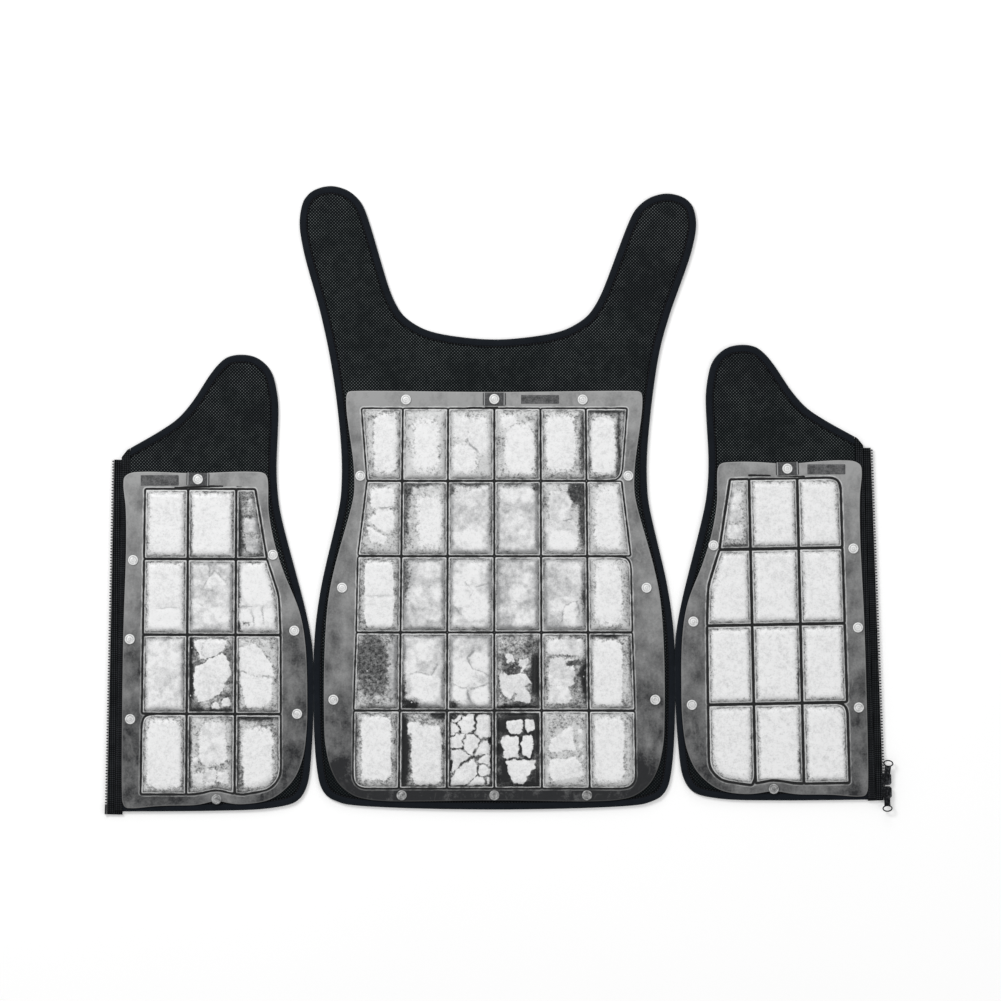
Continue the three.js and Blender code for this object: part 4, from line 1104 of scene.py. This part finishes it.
def rounded(share, size, u, v, ru, rv, power):
    """Distance into a rounded shape, in millimetres."""
    across, up = (np.abs(share - [u, v]) / [ru, rv]).T
    away = (across**power + up**power) ** (1 / power)
    return (1 - away) * min(ru * size[0], rv * size[1])


def ice_fields(points, depth, outline, kind, seed):
    """Distance into the ice, how firm it is there, its frost, the brightness round it and its specks."""
    low, high = outline.min(axis=0), outline.max(axis=0)
    size = high - low
    jag = kind.get("jag", 0.5)
    sway = [noise(points, 9, seed + i) * 1.3 + noise(points, 3.6, seed + 20 + i) * jag for i in (2, 3)]
    bent = points + np.column_stack(sway)
    share = (bent - low) / size
    ice = depth - kind["margin"] + noise(points, 6, seed + 9)
    slush = kind["slush"] + 0.16 * noise(points, 9, seed + 7)
    bodies = [rounded(share, size, *blob, kind.get("power", 4.5)) for blob in kind["blobs"]]
    bodies += [-signed_distance(bent, low + size * np.array(shard)) for shard in kind.get("shards", [])]
    if bodies:
        ice = np.minimum(ice, np.max(bodies, axis=0))
    if "chunks" in kind:
        middles = low + size * np.array(kind["chunks"])
        far = np.sort(np.linalg.norm(bent[:, None] - middles[None], axis=2), axis=1)
        gap = kind["gap"] * (1 + 0.6 * noise(points, 14, seed + 4))
        ice = np.minimum(ice, (far[:, 1] - far[:, 0]) / 2 - gap)
    for u, v, ru, rv, bright in kind.get("dark", []):
        inside = rounded(share, size, u, v, ru, rv, 2.4)
        ice = np.minimum(ice, -inside - 0.5)
        slush += (bright - slush) * smooth_step(inside, -3.5, 2.0)
    firm = ice / kind["soft"] / 1.4
    mottle = 0.7 * (noise(points, 11, seed + 5) + noise(points, 4.5, seed + 6))
    frost = kind["frost"] + kind["mottle"] * mottle
    # Painted shade: the frost darkens within a few millimetres of the cell's edge
    frost -= kind.get("shade", 0.2) * smooth_step(depth + noise(points, 8, seed + 10) * 1.5, 7, 1)
    for patch in kind.get("bright", []):
        frost += 0.34 * smooth_step(rounded(share, size, *patch, 2.6), -2.5, 2.5)
    for u0, v0, u1, v1 in kind.get("cracks", []):
        away, along = from_segment(bent, low + size * (u0, v0), low + size * (u1, v1))
        line = smooth_step(away, 1.5, 0.3) * np.sin(np.pi * np.clip(along, 0.08, 0.92)) ** 0.4
        frost -= line * kind.get("crack", 0.9)
        ice = np.minimum(ice, away * 0.8)
    specks = np.full(len(points), float(kind.get("specks", 0)))
    return ice, np.clip(firm, -2, 2), np.clip(frost, -0.3, 1), np.clip(slush, 0, 1), specks


def soft_depth(points, polygon):
    """Distance into a convex cell, with its corners rounded."""
    edges = np.roll(polygon, -1, axis=0) - polygon
    normals = np.column_stack([-edges[:, 1], edges[:, 0]]) / np.linalg.norm(edges, axis=1)[:, None]
    far = np.maximum(np.einsum("pnk,nk->pn", points[:, None] - polygon[None], normals), 0.05)
    return np.sum(far**-5.0, axis=1) ** (-1 / 5.0)


class IceSheet:
    """A film welded round cells of ice, with the fields that its material reads."""

    def __init__(self, node, kinds, order, seed, weld, tones, folds=(), pulls=()):
        loops = loops_at(node, SHEET_FACE)
        self.node, self.kinds, self.seed, self.weld = node, kinds, seed, weld
        self.tones, self.folds, self.pulls = tones, folds, pulls
        self.outline = smooth_path(loops[0], OUTLINE_STEP)
        self.normals = side_normals(self.outline, True)
        self.studs = np.array([loop.mean(axis=0) for loop in loops[1:] if area(loop) < SMALLEST_CELL])
        cells = [loop for loop in loops[1:] if area(loop) >= SMALLEST_CELL]
        cells.sort(key=lambda c: -order(c.mean(axis=0))[1])
        self.columns = len(kinds[0])
        self.cells = []
        for first in range(0, len(cells), self.columns):
            line = sorted(cells[first:first + self.columns], key=lambda c: order(c.mean(axis=0))[0])
            self.cells += [eased(squared(c)) for c in line]

    def fields(self, points):
        edge = np.full(len(points), FAR)
        inner = np.zeros((5, len(points)))
        inner[:2] = -2
        for i, outline in enumerate(self.cells):
            near = in_box(points, outline, FAR)
            away = signed_distance(points[near], outline)
            closer = away < edge[near]
            edge[near[closer]] = away[closer]
            inside = near[away < 0.6]
            if len(inside):
                depth = soft_depth(points[inside], outline)
                kind = self.kinds[i // self.columns][i % self.columns]
                inner[:, inside] = ice_fields(points[inside], depth, outline, kind, self.seed + i * 17)
        return edge, *inner

    def depth(self, points):
        """Distance into the cells with rounded corners, zero outside them."""
        best = np.zeros(len(points))
        for outline in self.cells:
            near = in_box(points, outline, 0)
            inside = near[signed_distance(points[near], outline) < 0]
            best[inside] = soft_depth(points[inside], outline)
        return best

    def warped(self, points):
        """Where the points of the flat sheet lie once its studs have pulled it."""
        moved = points.copy()
        for (x, y), pull, wide, deep in self.pulls:
            beyond = np.maximum(np.abs(points[:, 1] - y) - 8, 0)
            moved[:, 1] += pull * np.exp(-((points[:, 0] - x) / wide) ** 2 - (beyond / deep) ** 2)
        return moved

    def top(self, points, found=None):
        edge, ice = (found or self.fields(points))[:2]
        flange = smooth_step(edge, 1.5, 7)
        wave = noise(points, 26, self.seed) * 0.35 + noise(points, 11, self.seed + 1) * 0.18
        if len(self.studs):
            near = np.min(np.linalg.norm(points[:, None] - self.studs[None], axis=2), axis=1)
            wave *= smooth_step(near, 5, 18)
        depth = self.depth(points)
        rise = 1 - (1 - np.clip(depth / 9.5, 0, 1)) ** 3.2
        lumps = 0.55 * smooth_step(ice, -1.5, 5)
        lumps += 0.3 * noise(points, 13, self.seed + 2) + 0.16 * noise(points, 5, self.seed + 3)
        ice_top = rise * (ICE_RISE - 1.0) + lumps * smooth_step(depth, 0.5, 7)
        return WELD_TOP + (FLANGE_TOP - WELD_TOP + wave + 0.1) * flange + ice_top

    def points(self):
        """Points of the mesh: rings at the cells' edges, and staggered rows inside them and on the flange."""
        rings = [offset(self.outline, self.normals, d) for d in (0.8, 1.9, 4.2)]
        kept = []
        around = []
        for outline in self.cells:
            for distance in (-2.2, -1.1, -0.35, 0.35, 0.95, 1.7, 2.7, 4.0, 5.6, 7.4, 9.4):
                kept.append(evenly(mitred(outline, distance), MESH_STEP, True))
            inner = grid_in(outline.min(axis=0), outline.max(axis=0), MESH_STEP)
            kept.append(inner[signed_distance(inner, outline) < -10.3])
            for distance in (-2.9, -3.5, -4.1, -5.2):
                around.append(evenly(mitred(outline, distance), OUTLINE_STEP, True))
        around = np.vstack(around)
        around = around[self.fields(around)[0] > 2.85]
        flange = grid_in(self.outline.min(axis=0), self.outline.max(axis=0), FLANGE_STEP)
        flange = flange[self.fields(flange)[0] > 6.2]
        flange = flange[signed_distance(flange, self.outline[::3]) < -6.0]
        return np.vstack(rings + kept + [around, flange])

    def build(self):
        points = self.points()
        inside = signed_distance(points, self.outline[::2]) < -0.4
        flat, faces, rim = triangles(self.outline, points[inside])
        found = self.fields(flat)
        top = self.top(flat, found)
        flat_low, faces_low, rim_low = triangles(self.outline, offset(self.outline, self.normals, 7.0))
        low = np.full(len(flat_low), FILM_BOTTOM)
        low[rim_low] = np.maximum(top[rim] - 0.45, FILM_BOTTOM)
        upper = np.column_stack([self.warped(flat), top]), faces, rim
        lower = np.column_stack([self.warped(flat_low), low]), faces_low, rim_low

        fields = dict(zip(("weld_mm", "ice", "firm", "frost", "slush", "specks"), found))
        fields.pop("ice")
        fields["weld_mm"] = fields["weld_mm"] - WELD_HALF
        fields["rim_mm"] = distance_to(evenly(self.outline, 1.2, True), flat)
        fields["line_half"] = np.full(len(flat), self.weld)
        share = (flat[:, 1] - self.outline[:, 1].min()) / np.ptp(self.outline[:, 1])
        # Painted light: the flange's lightness up the sheet, lighter toward the top
        fields["sheet_lighting"] = np.interp(share, *self.tones)
        fields["fold_mm"] = np.full(len(flat), 9.0)
        for x0, y0, x1, y1, half in self.folds:
            away, _ = from_segment(flat, np.array([x0, y0]), np.array([x1, y1]))
            fields["fold_mm"] = np.minimum(fields["fold_mm"], away - half)
        # The lower surface has no welds or ice
        for key, values in fields.items():
            below = np.full(len(flat_low), FAR if "mm" in key else 0.3)
            fields[key] = np.concatenate([values, below])
        solid = shut(upper, lower)
        piece = add_mesh(f"{self.node}_film", *solid, ICE, "ice_film", replaces=[self.node], fields=fields)


# Studs, tabs and prints

STUD_TOP = [
    (5.6, 0.0), (6.1, 0.15), (6.2, 0.45), (6.05, 0.8), (5.5, 1.15), (4.9, 1.3), (4.5, 1.2), (4.2, 0.98),
    (3.8, 0.95), (3.3, 1.15), (2.4, 1.45), (1.2, 1.58), (0, 1.6),
]
SHANK = 1.9


def stud(node, sheet):
    low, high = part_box(node)
    centre = np.array([low.x + high.x, low.y + high.y]) / 2 / MM
    under = high.z / MM - STUD_TOP[-1][1]
    foot = low.z / MM
    profile = [(0, foot), (SHANK, foot), (SHANK, under)] + [(r, z + under) for r, z in STUD_TOP]
    vertices, faces = lathed(profile, 32, centre)
    share = (centre[1] - sheet.outline[:, 1].min()) / np.ptp(sheet.outline[:, 1])
    # Painted shade: studs lower on the sheet are darker
    stud_shading = np.interp(share, [0, 0.08, 0.2, 0.5], [0.3, 0.55, 0.85, 1.0])
    fields = {
        "radius_mm": np.linalg.norm(vertices[:, :2] - centre, axis=1),
        "stud_shading": np.full(len(vertices), stud_shading),
    }
    add_mesh(f"{node}_cap", vertices, faces, STUD, "press_stud", replaces=[node], fields=fields)


def tab(node):
    """Webbing with rounded corners, and a raised cord along each side."""
    low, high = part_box(node)
    own = SIDES.get(node.split("_")[0])
    points = node_points(node)
    flat = own.local(points) if own else points[:, :2]
    start, end = flat.min(axis=0), flat.max(axis=0)
    size = end - start
    radius = 1.0
    corners = []
    for i, corner in enumerate(((1, 1), (0, 1), (0, 0), (1, 0))):
        centre = start + radius + (size - 2 * radius) * corner
        for turn in (0, 30, 60, 90):
            angle = math.radians(90 * i + turn)
            corners.append(centre + radius * np.array([math.cos(angle), math.sin(angle)]))
    loop = evenly(np.array(corners), 1.2, True)
    inner = grid_in(start + 0.9, end - 0.9, 1.2)

    def to_edge(points, axis):
        return np.minimum(points[:, axis] - start[axis], end[axis] - points[:, axis])

    def lift(points):
        side = to_edge(points, 0)
        eased_rim = 0.1 * smooth_step(np.minimum(side, to_edge(points, 1)), 0, 1.0)
        cord = 0.25 * (1 - smooth_step(np.abs(side - 1.6), 0, 0.9))
        return high.z / MM - 0.1 + eased_rim + cord

    vertices, faces = slab(loop, inner, lift, low.z / MM)
    fields = {"side_mm": to_edge(vertices, 0)}
    if own:
        vertices = own.world(vertices)
    piece = add_mesh(f"{node}_webbing", vertices, faces, TAB, "stud_tab", replaces=[node], fields=fields)
    size[0] * MM
    size[1] * MM


def print_block(name, sheet, middle, size):
    """A bare printed block on a sheet's flange, in the place where the real one has its print."""
    half = np.array(size) / 2
    loop = evenly(half * [[-1, -1], [1, -1], [1, 1], [-1, 1]], 1.5, True)
    inner = grid_in(-half + 0.8, half - 0.8, 1.5)

    def top(points):
        return sheet.top(points + middle) + 0.1

    vertices, faces = slab(loop, inner, top, lambda points: top(points) - 0.07)
    vertices[:, :2] += middle
    add_mesh(name, vertices, faces, PRINT, "ice_film")


# Zip

def zip_strip(profile, low_line, high_line, count):
    """A band up a zip: a section of (distance in, height) rows between a low and a high line across it."""
    shares = np.linspace(0, 1, count)
    lines = []
    for x, z in profile:
        low, high = (np.interp(x, line[:, 0], line[:, 1]) for line in (low_line, high_line))
        lines.append(np.column_stack([np.full(count, x), low + (high - low) * shares, np.full(count, z)]))
    return tube(np.array(lines).transpose(1, 0, 2))


def facing(side):
    """The strip that covers the tape's edge, with two grooves that hold its stitches."""
    node = f"{side.name}_zip_facing"
    own = side.local(loops_at(node, PAD_TOP)[0])
    upper = own[:, 1] > ZIP_LENGTH / 2
    low_line, high_line = (end[np.argsort(end[:, 0])] for end in (own[~upper], own[upper]))
    profile = [
        (0.0, 3.75), (0.0, 4.3), (0.35, 4.85), (1.1, 5.2), (1.8, 5.15), (2.2, 4.95), (2.6, 5.15), (4.0, 5.5),
        (6.0, 5.65), (7.6, 5.45), (8.0, 5.25), (8.4, 5.4), (9.3, 5.6), (9.85, 5.5), (10.0, 5.2), (10.0, 3.75),
    ]
    points, faces = zip_strip([(ZIP_EDGE + inset, z) for inset, z in profile], low_line, high_line, 150)
    add_mesh(f"{side.name}_facing_tape", side.world(points), faces, FACING, "binding", replaces=[node])
    rows = []
    for inset, z in ((2.2, 5.02), (8.0, 5.3)):
        line = np.array([[ZIP_EDGE + inset, 3.0], [ZIP_EDGE + inset, high_line[:, 1].min() - 4]])
        points, faces = stitches(line, z, closed=False)
        rows.append((side.world(points), faces))
    add_mesh(f"{side.name}_facing_stitches", *joined(rows), THREAD, "binding")


def zip_tape(side):
    """Woven tape with a corded edge that the teeth grip."""
    profile = [
        (2.7, 2.75), (2.8, 2.4), (3.2, 2.2), (3.6, 2.4), (3.8, 2.62), (8, 2.6), (21.4, 2.6), (21.5, 2.7),
    ]
    profile += [(x, PAD_TOP - z) for x, z in profile[::-1]]
    points, faces = zip_strip(profile, np.array([[0, -side.tail]]), np.array([[0, ZIP_LENGTH]]), 140)
    node = f"{side.name}_zip_tape"
    add_mesh(f"{node}_woven", side.world(points), faces, TAPE, "zip_tape", replaces=[node])


def taken(shape):
    """The points and faces of a bmesh, which is then freed."""
    points = np.array([v.co for v in shape.verts])
    faces = [tuple(v.index for v in f.verts) for f in shape.faces]
    shape.free()
    return points, faces


def zip_teeth(side):
    """Moulded teeth, each with a rounded head on a narrower neck."""
    tooth = [(2.4, 0.95), (1.7, 0.95), (1.25, 0.62), (0.85, 0.72), (0.25, 0.6), (0.02, 0.25)]
    tooth = np.array([(2.4, -0.95)] + tooth + [(x, -y) for x, y in tooth[:0:-1]])
    vertices, faces = tube([np.column_stack([tooth, np.full(len(tooth), z)]) for z in (1.62, 4.38)])
    shape = bmesh.new()
    made = [shape.verts.new(v) for v in vertices]
    for face in faces:
        shape.faces.new([made[v] for v in face])
    bmesh.ops.recalc_face_normals(shape, faces=shape.faces)
    everything = shape.edges[:] + shape.verts[:]
    bmesh.ops.bevel(shape, geom=everything, offset=0.16, segments=2, affect="EDGES", profile=0.5)
    points, faces = taken(shape)
    start = 12 - side.tail + GAP
    count = int((ZIP_LENGTH - start) / TOOTH_PITCH)
    places = [start + (i + 0.5) * TOOTH_PITCH for i in range(count)]
    points, faces = joined([(points + [0, place, 0], faces) for place in places])
    node = f"{side.name}_zip_teeth"
    add_mesh(f"{node}_moulded", side.world(points), faces, TEETH, "zip_teeth", replaces=[node])


def from_node(node, ending, material, slot, body, width):
    """A node's own solid with softened edges."""
    keys, index = np.unique(np.round(node_points(node), 3), axis=0, return_inverse=True)
    index = index.ravel()
    shape = bmesh.new()
    made = [shape.verts.new(v) for v in keys]
    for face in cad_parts[node].data.polygons:
        corners = [made[index[v]] for v in face.vertices]
        if len(set(corners)) == len(corners) and shape.faces.get(corners) is None:
            shape.faces.new(corners)
    bmesh.ops.dissolve_limit(shape, angle_limit=0.02, verts=shape.verts, edges=shape.edges)
    sharp = [e for e in shape.edges if len(e.link_faces) == 2 and e.calc_face_angle(0) > 0.5]
    bmesh.ops.bevel(
        shape, geom=sharp, offset=width, segments=2, affect="EDGES", profile=0.5, clamp_overlap=True
    )
    bmesh.ops.triangulate(shape, faces=shape.faces)
    add_mesh(f"{node}_{ending}", *taken(shape), material, slot, body=body, replaces=[node])


SIDES = {name: Side(name) for name in ("left", "right")}

back_panel()
for own in SIDES.values():
    front_panel(own)
    facing(own)
    zip_tape(own)
    zip_teeth(own)
    from_node(f"{own.name}_zip_pin", "moulded", TEETH, "zip_teeth", "vest", 0.2)


def stud_place(node):
    return node_points(node).mean(axis=0)[:2]


def across_and_up(point):
    return point


def in_from_zip(name):
    """Orders cells by their place in from the zip, with the rows level across the panel's lean."""
    lean = 0.018

    def place(point):
        own = SIDES[name].local(point[None])[0]
        return own - [0, lean * own[0]]

    return place


# Tones are the painted light on the flange up the sheet, lighter toward the top, and folds dark creases in
# it: two ends and half the width.
sheets = {
    "back": IceSheet(
        "back_ice_sheet", BACK_CELLS, across_and_up, 11, 0.72,
        tones=([0, 0.035, 0.135, 0.44, 0.88, 0.97], [-0.14, -0.1, 0.28, 0.58, 0.72, 0.93]),
        folds=[(-36, 111.2, -20, 111.0, 0.9), (-16, 111.4, -2, 111.2, 1.1), (8, 110.8, 20, 110.4, 0.9)],
    ),
    "left": IceSheet(
        "left_ice_sheet", LEFT_CELLS, in_from_zip("left"), 501, 1.0,
        tones=([0, 0.15, 0.39, 0.64, 0.98], [0.3, 0.26, 0.33, 0.62, 0.9]),
        folds=[(-388, 15.0, -331, 17.4, 1.2), (-314, 17.0, -308, 17.2, 0.9)],
        pulls=[(stud_place("left_snap_08"), 5.0, 17, 12)],
    ),
    "right": IceSheet(
        "right_ice_sheet", RIGHT_CELLS, in_from_zip("right"), 901, 1.35,
        tones=([0, 0.13, 0.4, 0.63, 1.0], [0.32, 0.3, 0.45, 0.56, 0.8]),
        folds=[(300, 30.0, 330, 30.6, 1.3), (330, 30.6, 366, 29.2, 1.1)],
        pulls=[(stud_place("right_snap_08"), 4.5, 20, 3), (stud_place("right_snap_01"), -1.5, 24, 3)],
    ),
}
for name, sheet in sheets.items():
    sheet.build()
    tab(f"{name}_snap_tab")
    for node in sorted(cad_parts):
        if node.startswith(f"{name}_snap_") and node[-2:].isdigit():
            stud(node, sheet)

print_block("back_print", sheets["back"], (49.3, 121.0), (45.5, 10.5))
print_block("left_print", sheets["left"], (-406.6, 24.0), (45.5, 12.5))
print_block("right_print", sheets["right"], (392.5, 37.2), (45.5, 12.0))

for end in ("upper", "lower"):
    from_node(f"{end}_slider", "cast", METAL, "zip_metal", f"{end}_slider", 0.3)
    from_node(f"{end}_pull", "cast", METAL, "zip_metal", f"{end}_pull", 0.3)


# Floor and light

floor = bpy.data.objects.new("floor", bpy.data.meshes.new("floor"))
floor.data.from_pydata([(-6, -6, 0), (6, -6, 0), (6, 6, 0), (-6, 6, 0)], [], [(0, 1, 2, 3)])
floor.location.z = -0.2 * MM
floor_look = Look(
    "floor", Roughness=0.6, Specular_IOR_Level=0.2, Emission_Color=(1, 1, 1, 1), Emission_Strength=0.2
)
floor.data.materials.append(floor_look.wear(floor_look.mix(floor_look.noise(400, 2), 0.86, 0.88)))
bpy.context.scene.collection.objects.link(floor)

world = bpy.data.worlds.new("studio")
bpy.context.scene.world = world
world.use_nodes = True
world.node_tree.nodes["Background"].inputs[0].default_value = (1.0, 1.0, 1.0, 1.0)
world.node_tree.nodes["Background"].inputs[1].default_value = 0.5


def area_light(name, place, size, power, aim=(0, 0, 0)):
    light = bpy.data.lights.new(name, "AREA")
    light.shape = "SQUARE"
    light.size = size
    light.energy = power
    lamp = bpy.data.objects.new(name, light)
    lamp.location = place
    lamp.rotation_euler = (Vector(aim) - Vector(place)).to_track_quat("-Z", "Y").to_euler()
    bpy.context.scene.collection.objects.link(lamp)


area_light("key", (-1.6, 1.8, 2.6), 1.2, 62)
area_light("fill", (2.0, -1.0, 2.4), 1.6, 14)
area_light("back_edge", (0.4, 2.8, 1.4), 1.2, 12)
bpy.context.scene.view_settings.view_transform = "Standard"
